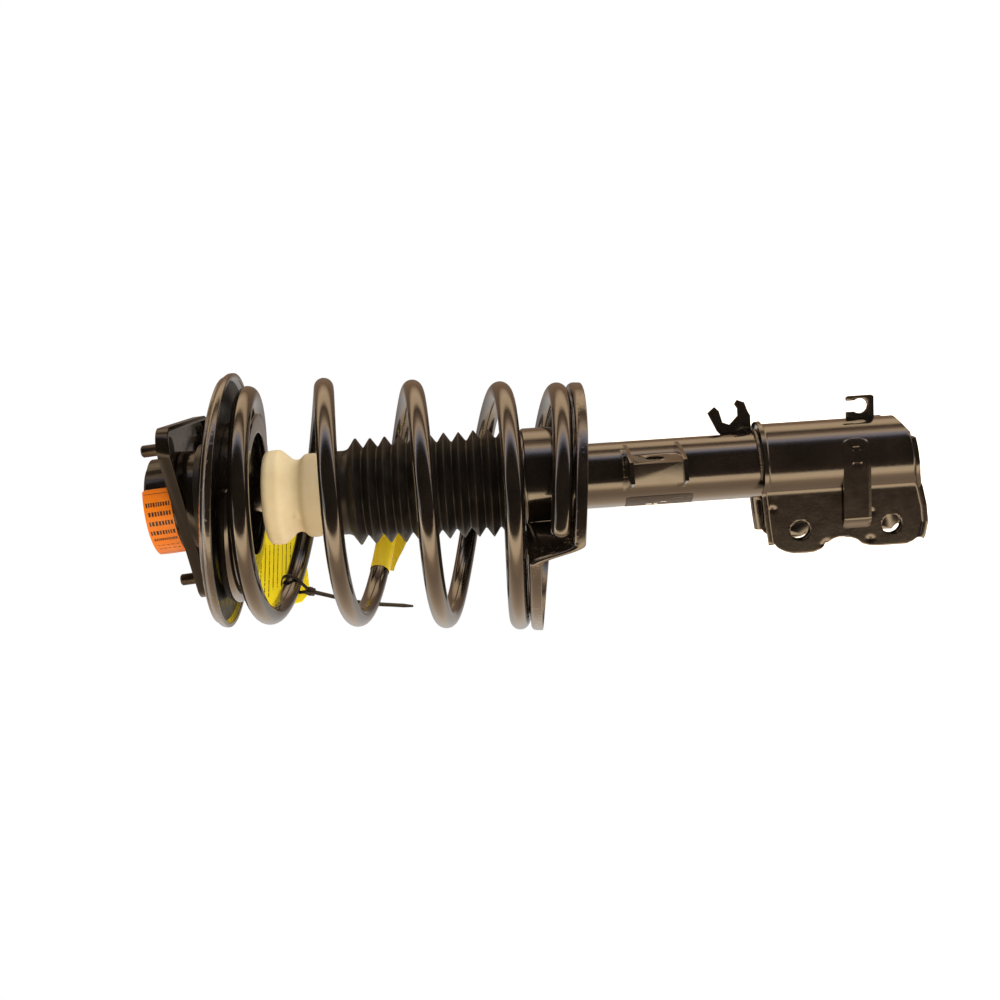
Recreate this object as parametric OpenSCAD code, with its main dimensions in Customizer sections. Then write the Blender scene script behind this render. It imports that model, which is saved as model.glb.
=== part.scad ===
// Front suspension strut assembly: damper, coil spring, top mount and knuckle bracket.
// +Z runs along the piston rod towards the body of the car, +X points to the side of the
// tube that the knuckle bolts to, and +Y runs along the two knuckle bolts.
// The origin is the centre of the locating dome, on the face that bolts to the strut tower.

/* [Top mount] */
// Lean of the mount plate from the rod axis, in degrees
mount_lean = 4; // [3:0.5:5]
// Radius of the circle through the three studs
stud_circle_r = 61; // [59:1:62]
// Diameter of the mounting studs
stud_d = 8; // [8:1:10]
// Height of the studs above the mount plate
stud_reach = 13; // [12:1:20]
// Diameter of the locating dome
dome_d = 66; // [65:1:67]
// Height of the locating dome
dome_h = 20; // [19:1:22]

/* [Spring] */
// Lean of the spring from the rod axis, in degrees
spring_lean = 5; // [4.5:0.1:5.2]
// Diameter of the spring wire
wire_d = 13.5; // [13:0.25:13.5]
// Radius of the coils, measured to the middle of the wire
coil_r = 79; // [78.5:0.5:79.5]
// Diameter of the upper spring seat
upper_seat_d = 176; // [174:1:180]
// Depth of the upper spring seat below the mount face
upper_seat_drop = 31.5; // [31.5:0.5:33]

/* [Damper] */
// Diameter of the damper tube
tube_d = 45; // [44.5:0.25:45]
// Diameter of the piston rod
rod_d = 20; // [19.5:0.5:20]
// Stroke from full extension to the bump stop
stroke = 108; // [90:1:108]

/* [Knuckle bracket] */
// Distance between the two knuckle bolts
bolt_spacing = 62.5; // [60:0.5:64]
// Distance of the knuckle bolts from the rod axis
bolt_offset = 42.7; // [41:0.5:44]
// Diameter of the knuckle bolt holes
bolt_hole_d = 14.1; // [12:0.1:14.1]
// Thickness of the bracket sheet
bracket_t = 2.8; // [2.5:0.1:3]

/* [Hidden] */

$fn = 96;
steel_black = [0.05, 0.045, 0.04];
bare_steel = [0.62, 0.62, 0.6];
urethane = [0.9, 0.87, 0.72];
rubber_black = [0.03, 0.03, 0.03];
tag_yellow = [0.9, 0.85, 0.1];
tiny = 0.05;

// Levels along the rod axis.
rod_shoulder_z = -22;
rod_tip_z = 13;
cup_bottom_z = -14;
race_gap_z = -18.9;
bearing_bottom_z = -24;
bump_stop_top_z = -57.3;
bump_stop_bottom_z = -112;
boot_top_z = -104;
boot_bottom_z = -232;
hub_top_z = -233;
hub_bottom_z = -271;
striker_top_z = bump_stop_bottom_z - stroke - 1;
tube_top_z = striker_top_z - 5;
guide_top_z = tube_top_z - 1;
guide_bottom_z = guide_top_z - 20;
tube_bottom_z = -486;

tube_r = tube_d / 2;
tube_wall = 2.2;
rod_r = rod_d / 2;
running_gap = 0.05;
fit_gap = 0.3;

// Mount plate.
plate_t = 3.2;
plate_flange_h = 8;
dome_wall = 3;
stud_centre = [-6.5, -10];
stud_angles = [129, 249, 369];
lobe_radii = [14, 22, 14];
stud_shoulder_r = stud_d / 2 + 0.6;
thread_r = 6;
cup_r = 36;
cup_hole_r = 21;
cup_floor_t = 2.5;
bushing_r = 31;
sleeve_r = 12;
washer_r = 18;
washer_t = 3;

function polar(r, a) = [r * cos(a), r * sin(a)];
function stud_place(i) = stud_centre + polar(stud_circle_r, stud_angles[i]);

module mount_frame() rotate([0, mount_lean, 0]) children();

module spring_frame() translate([0, 0, -upper_seat_drop]) rotate([0, -spring_lean, 0]) children();

// A ring about the current axis, from z0 up to z1.
module ring(r_in, r_out, z0, z1) translate([0, 0, z0]) difference() {
    cylinder(r = r_out, h = z1 - z0);
    translate([0, 0, -1]) cylinder(r = r_in, h = z1 - z0 + 2);
}

// A bar from z0 up to z1.
module bar(r, z0, z1) translate([0, 0, z0]) cylinder(r = r, h = z1 - z0);

// ---- Top mount ----

module plate_outline(grow = 0) hull()
    for (i = [0:2]) translate(stud_place(i)) circle(r = lobe_radii[i] + grow, $fn = 48);

module mount_plate() color(steel_black) mount_frame() difference() {
    union() {
        translate([0, 0, -plate_flange_h]) linear_extrude(plate_flange_h) plate_outline();
        bar(dome_d / 2, -tiny, dome_h - 2);
    }
    translate([0, 0, -plate_flange_h - 1])
        linear_extrude(plate_flange_h + 1 - plate_t) plate_outline(-plate_t);
    bar(dome_d / 2 - dome_wall, -plate_flange_h - 1, dome_h - 2 - dome_wall);
    bar(dome_d / 2 - 14, 0, dome_h);
    for (i = [0:2]) translate(stud_place(i)) bar(stud_shoulder_r, -plate_flange_h, 1);
}

module dust_cap() color(rubber_black) mount_frame() {
    rim_r = dome_d / 2 - 1.5;
    throat_r = dome_d / 2 - 14.2;
    crown_z = dome_h + 1.5;
    rotate_extrude() polygon([
        [0, crown_z - 2], [throat_r - 2, crown_z - 2], [throat_r - 2, dome_h - 8],
        [throat_r, dome_h - 8], [throat_r, dome_h - 2], [rim_r, dome_h - 2],
        [rim_r - 3, crown_z - 1], [rim_r - 6, crown_z], [0, crown_z]
    ]);
}

// The stuck-on label covers part of the dome's side.
module warning_label() color([0.95, 0.5, 0.05]) mount_frame()
    rotate([0, 0, 20]) translate([0, 0, 1.5]) rotate_extrude(angle = 100)
        translate([dome_d / 2 + 0.01, 0]) square([0.15, dome_h - 4.5]);

// Each stud is pressed in from below and fills its hole with a shoulder.
module mount_studs() color(bare_steel) mount_frame()
    for (i = [0:2]) translate(stud_place(i)) {
        head_r = 7.5;
        head_h = 3.6;
        union() {
            bar(stud_d / 2, -1, stud_reach - 1);
            translate([0, 0, stud_reach - 1]) cylinder(r1 = stud_d / 2, r2 = stud_d / 2 - 1, h = 1);
            bar(stud_shoulder_r, -plate_t - 1, 0);
            bar(head_r, -plate_t - head_h, -plate_t);
        }
    }

// The space that the plate and its flange take up, with a little clearance all round.
module plate_clearance() mount_frame() difference() {
    bar(stud_circle_r, -plate_flange_h - fit_gap, dome_h);
    translate([0, 0, -plate_flange_h - 1])
        linear_extrude(plate_flange_h + 1 - plate_t - fit_gap) plate_outline(-plate_t - fit_gap);
    bar(dome_d / 2 - dome_wall - fit_gap, -plate_flange_h, dome_h);
}

// Pressed cup that holds the rubber; its top follows the leaning plate.
module mount_cup() color(steel_black) difference() {
    bar(cup_r, cup_bottom_z, 2);
    bar(bushing_r, cup_bottom_z + cup_floor_t, 3);
    bar(cup_hole_r, cup_bottom_z - 1, 3);
    plate_clearance();
    mount_frame() bar(cup_r + 4, -plate_t - fit_gap, dome_h);
}

module mount_bushing() color(rubber_black) difference() {
    bar(bushing_r, cup_bottom_z + cup_floor_t, -1.8);
    bar(sleeve_r, cup_bottom_z, 0);
    plate_clearance();
}

module inner_sleeve() color(bare_steel)
    ring(thread_r + tiny, sleeve_r, rod_shoulder_z + washer_t, -1);

module rod_washer() color(bare_steel) ring(thread_r + tiny, washer_r, -1, washer_t - 1);

module sleeve_washer() color(bare_steel)
    ring(thread_r + tiny, washer_r, rod_shoulder_z, rod_shoulder_z + washer_t);

module rod_nut() color(bare_steel) translate([0, 0, washer_t - 1]) difference() {
    nut_across_corners = 22;
    nut_h = 9;
    cylinder(d = nut_across_corners, h = nut_h, $fn = 6);
    bar(thread_r + tiny, -1, nut_h + 1);
}

// ---- Strut bearing ----
ball_r = 2.4;
ball_circle_r = 33;
ball_count = 30;

module ball_groove() rotate_extrude()
    translate([ball_circle_r, race_gap_z]) circle(r = ball_r + 0.1, $fn = 32);

module bearing_upper_race() color(bare_steel) difference() {
    ring(27, 40, race_gap_z + 0.9, cup_bottom_z);
    ball_groove();
}

module bearing_lower_race() color(bare_steel) difference() {
    ring(27, 40, bearing_bottom_z, race_gap_z - 0.9);
    ball_groove();
}

module bearing_balls() color("silver")
    for (i = [0:ball_count - 1])
        rotate([0, 0, i * 360 / ball_count])
            translate([ball_circle_r, 0, race_gap_z]) sphere(r = ball_r, $fn = 24);

// ---- Piston rod and what it carries ----
piston_top_z = guide_bottom_z - 28;
piston_h = 14;
bore_r = 15;

module piston_rod() color(bare_steel) union() {
    bar(rod_r, piston_top_z, rod_shoulder_z);
    bar(thread_r, rod_shoulder_z - 1, rod_tip_z);
    bar(thread_r, piston_top_z - piston_h - 12, piston_top_z + 1);
}

module rebound_stop() color(urethane) ring(rod_r, 13.5, guide_bottom_z - 15.4, guide_bottom_z - 5.4);

module piston() color(bare_steel) difference() {
    ring(thread_r, bore_r - 0.07, piston_top_z - piston_h, piston_top_z);
    ring(bore_r - 1, bore_r + 1, piston_top_z - piston_h + 3, piston_top_z - 3);
}

module piston_seal() color(rubber_black)
    ring(bore_r - 1, bore_r - 0.07, piston_top_z - piston_h + 3, piston_top_z - 3);

module piston_valve_discs() color("silver") {
    disc_t = 0.8;
    for (i = [0:2]) translate([0, 0, piston_top_z - piston_h - disc_t * (i + 1)])
        ring(thread_r, 12 - 1.5 * i, 0, disc_t);
}

module piston_nut() color(bare_steel) {
    nut_top_z = piston_top_z - piston_h - 2.4;
    difference() {
        translate([0, 0, nut_top_z - 8]) cylinder(d = 20, h = 8, $fn = 6);
        bar(thread_r, nut_top_z - 9, nut_top_z + 1);
    }
}

// Moulded urethane bump stop with two lobes and a tail that the boot snaps on.
module bump_stop() color(urethane) rotate_extrude() polygon([
    [rod_r, bump_stop_top_z], [29.5, bump_stop_top_z], [31.8, -58.6], [32.8, -61], [32.8, -67.6],
    [31.6, -69.6], [26.4, -75.4], [25, -77], [24.8, -80], [25.6, -82.2],
    [28.2, -85.2], [29, -88.2], [28.6, -93], [27, -97], [24.5, -99.6], [22, -101],
    [22, -108], [20.5, bump_stop_bottom_z], [rod_r, bump_stop_bottom_z]
]);

// ---- Upper spring seat ----
seat_r = upper_seat_d / 2;
seat_plate_z = 1.5;
seat_plate_t = 2.5;
insulator_z = 0.75;
collar_offset = -5;
collar_r = 48.5;
collar_lip_r = 55.5;
collar_hole_r = 42;
collar_bottom_z = -18.6;

module upper_spring_seat() color(steel_black) difference() {
    union() {
        spring_frame() {
            ring(30, seat_r, seat_plate_z, seat_plate_z + seat_plate_t);
            ring(seat_r - seat_plate_t, seat_r, -2.5, seat_plate_z + 1);
            translate([collar_offset, 0, 0]) {
                ring(collar_r - seat_plate_t, collar_r, collar_bottom_z, seat_plate_z + 1);
                ring(collar_hole_r, collar_lip_r, collar_bottom_z, collar_bottom_z + 2);
            }
        }
        ring(27, 41, -33.5, bearing_bottom_z);
    }
    bar(27, -60, 0);
}

module bearing_shield() color(steel_black) spring_frame() {
    shield_z = 5.4;
    ring(43, seat_r - 3, shield_z, shield_z + 2);
    ring(seat_r - 5.5, seat_r - 3, shield_z - 1, shield_z);
}

module upper_insulator() color(rubber_black) spring_frame()
    ring(collar_r - collar_offset + fit_gap, seat_r - 4, insulator_z, seat_plate_z - 0.02);

// ---- Coil spring ----
// The path runs from turn spring_start to turn spring_end. Turn 0 lies at -X, and the coil
// turns towards +Y as it goes down. Each entry of pitch_changes says round which turn the
// pitch changes, over how much of a turn, and to what.
wire_r = wire_d / 2;
spring_start = -0.8;
spring_end = 4.255;
first_coil_drop = wire_r + 0.6;
end_pitch = 1.5;
pitch_changes = [[0.1, 0.9, 60.8], [3, 0.3, 39], [4, 0.3, 0.5]];
full_coil_turn = 0.5;
pigtail_shrink = 20;
coil_skew = 0.8;

function ramp_area(t) = t <= 0 ? 0 : t >= 1 ? t - 0.5 : pow(t, 3) - pow(t, 4) / 2;
function pitch_before(i) = i == 0 ? end_pitch : pitch_changes[i - 1][2];
function pitch_term(c, step, turn) = step * c[1] * ramp_area((turn - c[0]) / c[1] + 0.5);
function coil_drop(turn, i = 0) =
    (i == 0 ? first_coil_drop + end_pitch * (turn - spring_start) : 0)
    + (i < len(pitch_changes)
        ? pitch_term(pitch_changes[i], pitch_changes[i][2] - pitch_before(i), turn) + coil_drop(turn, i + 1)
        : 0);
function pigtail_share(turn) = max(0, (full_coil_turn - turn) / (full_coil_turn - spring_start));
function coil_radius(turn) = coil_r - pigtail_shrink * pow(pigtail_share(turn), 1.2);
function coil_heading(turn) = 180 - 360 * turn;
// A point at a radius from the spring's axis, at the height of the given drop. The coils lie
// in planes that are skewed a little from square to the axis.
function coil_place(r, turn, drop) = let (flat = polar(r, coil_heading(turn)))
    concat(flat, [flat[0] * tan(coil_skew) - drop]);
function coil_point(turn) = coil_place(coil_radius(turn), turn, coil_drop(turn));
// The same point in the part's own frame.
function from_spring(p) = [
    p[0] * cos(spring_lean) - p[2] * sin(spring_lean),
    p[1],
    p[0] * sin(spring_lean) + p[2] * cos(spring_lean) - upper_seat_drop
];

function unit(v) = v / norm(v);
function tangent(turn) = unit(coil_point(turn + 0.002) - coil_point(turn - 0.002));

// Ring of points round the wire at one place on the path.
function wire_ring(turn, r, sides) = let (
    t = tangent(turn),
    side = unit(cross(t, [0, 0, 1])),
    up = cross(side, t)
) [for (k = [0:sides - 1]) let (a = k * 360 / sides) coil_point(turn) + r * (cos(a) * side + sin(a) * up)];

// Two triangles for each side of the skin between ring i and ring j.
function skin(i, j, sides) = [for (k = [0:sides - 1]) let (next = (k + 1) % sides) each [
    [i * sides + k, i * sides + next, j * sides + next],
    [i * sides + k, j * sides + next, j * sides + k]
]];

// A solid through consecutive rings of points, closed by flat ends.
module tube_through(rings) {
    sides = len(rings[0]);
    last = len(rings) - 1;
    polyhedron(
        points = [for (one = rings) for (p = one) p],
        faces = concat(
            [[for (k = [0:sides - 1]) sides - 1 - k]],
            [for (i = [0:last - 1]) each skin(i, i + 1, sides)],
            [[for (k = [0:sides - 1]) last * sides + k]]
        )
    );
}

// The same, but the last ring joins the first.
module loop_through(rings) {
    sides = len(rings[0]);
    count = len(rings);
    polyhedron(
        points = [for (one = rings) for (p = one) p],
        faces = [for (i = [0:count - 1]) each skin(i, (i + 1) % count, sides)]
    );
}

module wire_stretch(from, to, steps, r, sides) tube_through(
    [for (i = [0:steps]) wire_ring(from + (to - from) * i / steps, r, sides)]);

module coil_spring() color(steel_black) spring_frame()
    wire_stretch(spring_start, spring_end, 188, wire_r, 14);

// A paper sleeve wrapped once round the wire.
module spring_sticker() color(tag_yellow) spring_frame() difference() {
    wire_stretch(1.60, 1.68, 8, wire_r + 0.9, 14);
    wire_stretch(1.58, 1.70, 12, wire_r + 0.35, 14);
}

// ---- Dust boot ----
boot_pitch = 10.2;
boot_wall = 1.4;
crest_r = 37.6;
valley_r = 30;
fold_top_z = boot_top_z - 11;
fold_count = floor((fold_top_z - boot_bottom_z) / boot_pitch);

// One side of the boot's wall, crest and valley in turn.
function fold_line(inset) = [for (i = [0:fold_count - 1]) each [
    [valley_r - inset, fold_top_z - i * boot_pitch],
    [crest_r - inset, fold_top_z - (i + 0.5) * boot_pitch]
]];
function reversed(list) = [for (i = [len(list) - 1:-1:0]) list[i]];

module dust_boot() color(rubber_black) rotate_extrude() polygon(concat(
    [[29, boot_top_z], [29, boot_top_z - 8]],
    fold_line(0),
    [[valley_r, boot_bottom_z]],
    [[valley_r - boot_wall, boot_bottom_z]],
    reversed(fold_line(boot_wall)),
    [[25, boot_top_z - 9], [22.5, boot_top_z - 6], [22.5, boot_top_z]]
));

// ---- Tag and tie hanging on the spring ----
tag_heading = -48;
tag_distance = coil_r + wire_r + 1.2;
tag_t = 0.6;
eyelet_place = [27, -53.3];

// Places a flat drawing of (along, height) against the outside of the coils.
module on_tag() rotate([0, 0, tag_heading]) translate([tag_distance, 0, 0])
    rotate([90, 0, 90]) linear_extrude(tag_t) children();

module hang_tag() color(tag_yellow) translate([3, 0, 0]) on_tag() difference() {
    polygon([[-30, -31], [-27, -63], [-22, -68], [29, -76], [36, -69], [36, -42], [31, -33]]);
    translate(eyelet_place) circle(r = 4, $fn = 32);
}

module tag_eyelet() color([0.6, 0.3, 0.1]) translate([3, 0, 0]) on_tag() difference() {
    translate(eyelet_place) circle(r = 3.9, $fn = 32);
    translate(eyelet_place) circle(r = 2.2, $fn = 32);
}

tie_turn = 0.575;
tie_w = 3.6;
tie_t = 1.3;
tie_route = [
    [80, -41, -74], [86, -44, -90], [92, -48, -105], [96, -52, -119], [99, -56, -133], [102, -60, -147]
];

// Stands children up along the wire at a given turn.
module on_wire(turn) {
    t = tangent(turn);
    spring_frame() translate(coil_point(turn))
        rotate([0, acos(t[2]), atan2(t[1], t[0])]) children();
}

function strip_ring(p) = [
    p + [0, tie_w / 2, 0], p - [0, tie_w / 2, 0], p + [tie_t, -tie_w / 2, 0], p + [tie_t, tie_w / 2, 0]
];

module cable_tie() color(rubber_black) {
    union() {
        on_wire(tie_turn) ring(wire_r + fit_gap, wire_r + fit_gap + tie_t, -tie_w / 2, tie_w / 2);
        translate(tie_route[0] - [4, 3, 3]) cube([7, 6, 8]);
        tube_through([for (p = tie_route) strip_ring(p)]);
    }
}

// ---- Damper tube and its insides ----
module strut_tube() color(steel_black) ring(tube_r - tube_wall, tube_r, tube_bottom_z, tube_top_z);

module tube_bottom_cap() color(steel_black) bar(tube_r - tube_wall, tube_bottom_z + 1, tube_bottom_z + 4);

module inner_cylinder() color(bare_steel) ring(bore_r, bore_r + 1.5, tube_bottom_z + 12, guide_bottom_z);

module base_valve() color(bare_steel) difference() {
    union() {
        bar(bore_r + 1.5, tube_bottom_z + 7, tube_bottom_z + 12);
        bar(bore_r, tube_bottom_z + 11, tube_bottom_z + 16);
        bar(tube_r - tube_wall - 1, tube_bottom_z + 4, tube_bottom_z + 8);
    }
    for (a = [0:60:300]) rotate([0, 0, a]) translate([10, 0]) bar(2, tube_bottom_z, tube_bottom_z + 20);
}

module rod_guide() color(bare_steel) union() {
    ring(rod_r + running_gap, bore_r, guide_bottom_z - 5, guide_bottom_z + 1);
    ring(rod_r + running_gap, tube_r - tube_wall, guide_bottom_z, guide_top_z - 5);
}

module rod_seal() color(rubber_black)
    ring(rod_r + running_gap, tube_r - tube_wall, guide_top_z - 5, tube_top_z);

module striker_cap() color("silver") difference() {
    bar(tube_r + 1.9, tube_top_z - 4, striker_top_z);
    bar(tube_r, tube_top_z - 5, tube_top_z);
    bar(rod_r + 1, tube_top_z - 6, tube_top_z + 20);
}

// ---- Lower spring seat ----
hub_r = 36;
hub_wall = 2.5;
lower_seat_r = 86;
lower_seat_t = 2.6;
lower_rim_h = 8.5;
seat_step_from = 4.262;
seat_step_to = 4.29;
seat_slices = 72;

// Bent sheet hub: roof, wall and floor round the tube.
module lower_seat_hub() color(steel_black) difference() {
    bar(hub_r, hub_bottom_z, hub_top_z);
    ring(tube_r - 1, hub_r - hub_wall, hub_bottom_z + hub_wall, hub_top_z - hub_wall);
    bar(tube_r, hub_bottom_z - 1, hub_top_z + 1);
}

// Drop of the seat's face along the spring axis: it follows the wire for most of a turn,
// then steps back up to where it began.
function seat_drop(turn) = turn <= seat_step_from
    ? coil_drop(turn) + wire_r + 0.6
    : let (share = (turn - seat_step_from) / (seat_step_to - seat_step_from))
        seat_drop(seat_step_from) * (1 - share) + seat_drop(seat_step_to - 1) * share;

function seat_turn(i) = seat_step_to - 1 + (seat_step_from - seat_step_to + 1) * i / seat_slices;

// Where a circle about the rod axis meets the seat, given in the spring's frame.
function hub_place(turn, drop) = let (
    flat = polar(hub_r + 0.3, coil_heading(turn)) - [drop * tan(spring_lean), 0]
) concat(flat, [flat[0] * tan(coil_skew) - drop]);

function seat_slice(turn) = let (drop = seat_drop(turn)) [for (p = [
    hub_place(turn, drop),
    coil_place(lower_seat_r, turn, drop),
    coil_place(lower_seat_r, turn, drop + lower_rim_h),
    coil_place(lower_seat_r - lower_seat_t, turn, drop + lower_rim_h),
    coil_place(lower_seat_r - lower_seat_t, turn, drop + lower_seat_t),
    hub_place(turn, drop + lower_seat_t)
]) from_spring(p)];

module lower_spring_seat() color(steel_black)
    loop_through([for (i = [0:seat_slices]) seat_slice(seat_turn(i))]);

module seat_weld() color(steel_black) rotate_extrude() polygon([
    [tube_r, hub_bottom_z], [tube_r + 3.4, hub_bottom_z], [tube_r + 3, hub_bottom_z - 2.4],
    [tube_r + 1.6, hub_bottom_z - 4], [tube_r, hub_bottom_z - 4.4]
]);

// ---- Stabiliser link bracket ----
link_z0 = -341;
link_z1 = -303;
link_mid_z = (link_z0 + link_z1) / 2;
link_sheet = 2.8;
link_shelf_x = -16;
link_front_y = 52;
link_hole_y = 33;
link_hole_d = 12.6;
link_bottom_x = 4;

module link_side() polygon([
    [link_shelf_x - 6, 10], [link_shelf_x - 6, 30], [link_shelf_x - 2, link_front_y + 3],
    [-4, link_front_y + 6], [link_bottom_x, 34], [link_bottom_x + 5, 15]
]);

// A pressed box open downwards: shelf, front lip and two cheeks that end on the tube.
module link_bracket() color(steel_black) difference() {
    union() {
        for (z = [link_z0, link_z1 - link_sheet])
            translate([0, 0, z]) linear_extrude(link_sheet) link_side();
        translate([link_shelf_x, 10, link_z0 + 1])
            cube([link_sheet, link_front_y - 10, link_z1 - link_z0 - 2]);
        translate([link_shelf_x, link_front_y - link_sheet, link_z0 + 1])
            cube([14, link_sheet, link_z1 - link_z0 - 2]);
    }
    bar(tube_r, link_z0 - 1, link_z1 + 1);
    translate([0, link_hole_y, link_mid_z]) rotate([0, 90, 0])
        cylinder(d = link_hole_d, h = 60, center = true);
}

module link_bracket_weld() color(steel_black) intersection() {
    difference() {
        union() for (z = [link_z0 - 2.2, link_z1]) bar(tube_r + 2, z, z + 2.2);
        bar(tube_r, link_z0 - 10, link_z1 + 10);
    }
    translate([-19, 5, link_z0 - 5]) cube([26, 30, link_z1 - link_z0 + 10]);
}

// ---- Knuckle bracket ----
wrap_top_z = -396;
wrap_bottom_z = -499;
upper_bolt_z = -420.3;
lower_bolt_z = upper_bolt_z - bolt_spacing;
ear_y = 21;
wrap_r = tube_r + bracket_t;
crease_x = 14;
ear_tip_x = 58.6;
lip_reach = 4.5;
lip_start_x = -15.8;

// Section of the bracket across the rod axis, grown outwards by the given amount.
module bracket_section(grow = 0) {
    intersection() {
        circle(r = wrap_r + grow);
        translate([-60, -60]) square([60 + crease_x, 120]);
    }
    translate([crease_x - 1, -ear_y - grow]) square([ear_tip_x - crease_x + 1, 2 * (ear_y + grow)]);
}

module bracket_inside() {
    circle(r = tube_r);
    translate([0, -ear_y + bracket_t]) square([ear_tip_x + 10, 2 * (ear_y - bracket_t)]);
}

// Outline of the bracket seen along the bolts; x is the distance from the rod axis and
// y is the height.
module bracket_outline() difference() {
    union() {
        translate([-wrap_r, wrap_bottom_z]) square([wrap_r + 20, wrap_top_z - wrap_bottom_z]);
        polygon([
            [10, wrap_top_z + 4], [30, wrap_top_z + 2], [52, wrap_top_z - 3],
            [56.5, wrap_top_z - 8], [ear_tip_x, wrap_top_z - 17], [ear_tip_x, -431],
            [56, -437], [50.5, -443], [49, -448], [50, -456], [54, -463], [56, -470],
            [57, -478], [57, -499], [53, -505], [43, -507.5], [30, -506],
            [18, -502.5], [10, -500.5]
        ]);
    }
    polygon([
        [-wrap_r - 1, wrap_bottom_z - 1], [-wrap_r - 1, -490.5], [-wrap_r + 1, -491],
        [lip_start_x, -498], [lip_start_x, wrap_bottom_z - 1]
    ]);
}

module along_bolts(y0, y1) translate([0, y1, 0]) rotate([90, 0, 0]) linear_extrude(y1 - y0) children();

// The bent sheet with the lips that turn out along its two ends.
module bracket_sheet() difference() {
    union() {
        intersection() {
            translate([0, 0, -520]) linear_extrude(140) bracket_section();
            along_bolts(-60, 60) bracket_outline();
        }
        intersection() {
            translate([0, 0, -520]) linear_extrude(140) bracket_section(lip_reach);
            along_bolts(-60, 60) union() {
                difference() {
                    bracket_outline();
                    translate([0, -bracket_t]) bracket_outline();
                    translate([30, -490]) square([40, 80]);
                }
                difference() {
                    bracket_outline();
                    translate([0, bracket_t]) bracket_outline();
                    translate([46, -490]) square([40, 80]);
                    translate([-60, -510]) square([60 + lip_start_x, 60]);
                }
            }
        }
    }
    translate([0, 0, -530]) linear_extrude(160) bracket_inside();
    for (z = [upper_bolt_z, lower_bolt_z])
        translate([bolt_offset, 0, z]) rotate([90, 0, 0]) cylinder(d = bolt_hole_d, h = 80, center = true);
}

// The part of the sheet that wraps the tube.
module knuckle_bracket() color(steel_black) intersection() {
    bracket_sheet();
    translate([-60, -60, -530]) cube([60 + crease_x, 120, 160]);
}

// The two flat ears beyond the crease.
module bracket_ears() color(steel_black) intersection() {
    bracket_sheet();
    translate([crease_x, -60, -530]) cube([60, 120, 160]);
}

// Doubling plates inside the two ears.
module bracket_liners() color(steel_black) difference() {
    liner_t = 2.2;
    liner_y = ear_y - bracket_t;
    for (y0 = [-liner_y, liner_y - liner_t])
        along_bolts(y0, y0 + liner_t) polygon([
            [26, -403], [48, -404], [55, -410], [56, -430], [46, -443], [46, -455],
            [55, -470], [56, -494], [48, -501], [26, -500]
        ]);
    for (z = [upper_bolt_z, lower_bolt_z])
        translate([bolt_offset, 0, z]) rotate([90, 0, 0]) cylinder(d = bolt_hole_d, h = 80, center = true);
}

// Straps that bridge the crease between the wrap and each ear.
strap_mid_z = -458.5;
strap_w = 18.5;
strap_t = 2.4;

module strap_section() difference() {
    union() {
        intersection() {
            circle(r = wrap_r + strap_t);
            translate([-13, 0]) square([13, 60]);
        }
        polygon([
            [-tiny, 15], [-tiny, wrap_r + strap_t], [36, wrap_r + strap_t], [45, ear_y + strap_t],
            [50, ear_y + strap_t], [50, ear_y], [44, ear_y], [35, wrap_r], [20, wrap_r], [16, 15]
        ]);
    }
    circle(r = wrap_r + tiny);
    translate([crease_x - 1, -ear_y - tiny]) square([ear_tip_x, 2 * (ear_y + tiny)]);
}

module bracket_straps() color(steel_black) for (side = [0, 1]) mirror([0, side, 0])
    translate([0, 0, strap_mid_z - strap_w / 2]) linear_extrude(strap_w) strap_section();

// ---- Brake hose clip ----
clip_t = 2.5;
clip_hole_r = 5.2;

module hose_clip() color(steel_black) {
    foot_x = -wrap_r - 0.2;
    foot_z = -483.9;
    difference() {
        union() {
            along_bolts(-clip_t, 0) difference() {
                polygon([
                    [foot_x, foot_z], [foot_x, -460], [foot_x - 1, -458.6], [-34, -458.6],
                    [-42.5, -458.6], [-43.5, -460], [-43.5, -476.5], [-42.5, -477.8],
                    [foot_x - clip_t, -477.8], [foot_x - clip_t, foot_z]
                ]);
                translate([-36.4, -468]) circle(r = clip_hole_r);
                translate([-36.4 - 3.9, -468]) square([7.8, 20]);
            }
            translate([foot_x - clip_t, -clip_t - 6, foot_z]) cube([clip_t, clip_t + 6, 23]);
        }
        bar(wrap_r, -500, -440);
    }
}

// ---- Sensor cable bracket on the far side ----
module sensor_bracket() color(steel_black) difference() {
    translate([0, -12, 0]) rotate([0, 0, 8]) along_bolts(-2.5, 0) polygon([
        [-18, -400], [-26, -399], [-36, -394], [-42, -392], [-44, -387], [-41, -385],
        [-38, -387], [-33, -387], [-27, -381], [-29, -376], [-37, -374], [-40, -371],
        [-36, -366], [-23, -372], [-16, -378]
    ]);
    bar(tube_r, -420, -350);
    bar(40, wrap_bottom_z, wrap_top_z + fit_gap);
}

// ---- Label on the tube ----
module tube_label() color([0.85, 0.85, 0.82]) rotate([0, 0, 5]) translate([0, 0, -349])
    rotate_extrude(angle = 50) translate([tube_r + 0.02, 0]) square([0.3, 46]);

mount_plate();
mount_cup();
mount_bushing();
inner_sleeve();
mount_studs();
dust_cap();
warning_label();
rod_nut();
rod_washer();
sleeve_washer();
bearing_upper_race();
piston_rod();
bump_stop();
rebound_stop();
piston();
piston_seal();
piston_valve_discs();
piston_nut();
bearing_lower_race();
bearing_balls();
bearing_shield();
upper_spring_seat();
upper_insulator();
coil_spring();
dust_boot();
hang_tag();
tag_eyelet();
cable_tie();
spring_sticker();
strut_tube();
tube_bottom_cap();
inner_cylinder();
base_valve();
rod_guide();
rod_seal();
striker_cap();
lower_seat_hub();
lower_spring_seat();
seat_weld();
link_bracket();
link_bracket_weld();
knuckle_bracket();
bracket_ears();
bracket_liners();
bracket_straps();
hose_clip();
sensor_bracket();
tube_label();
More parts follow.
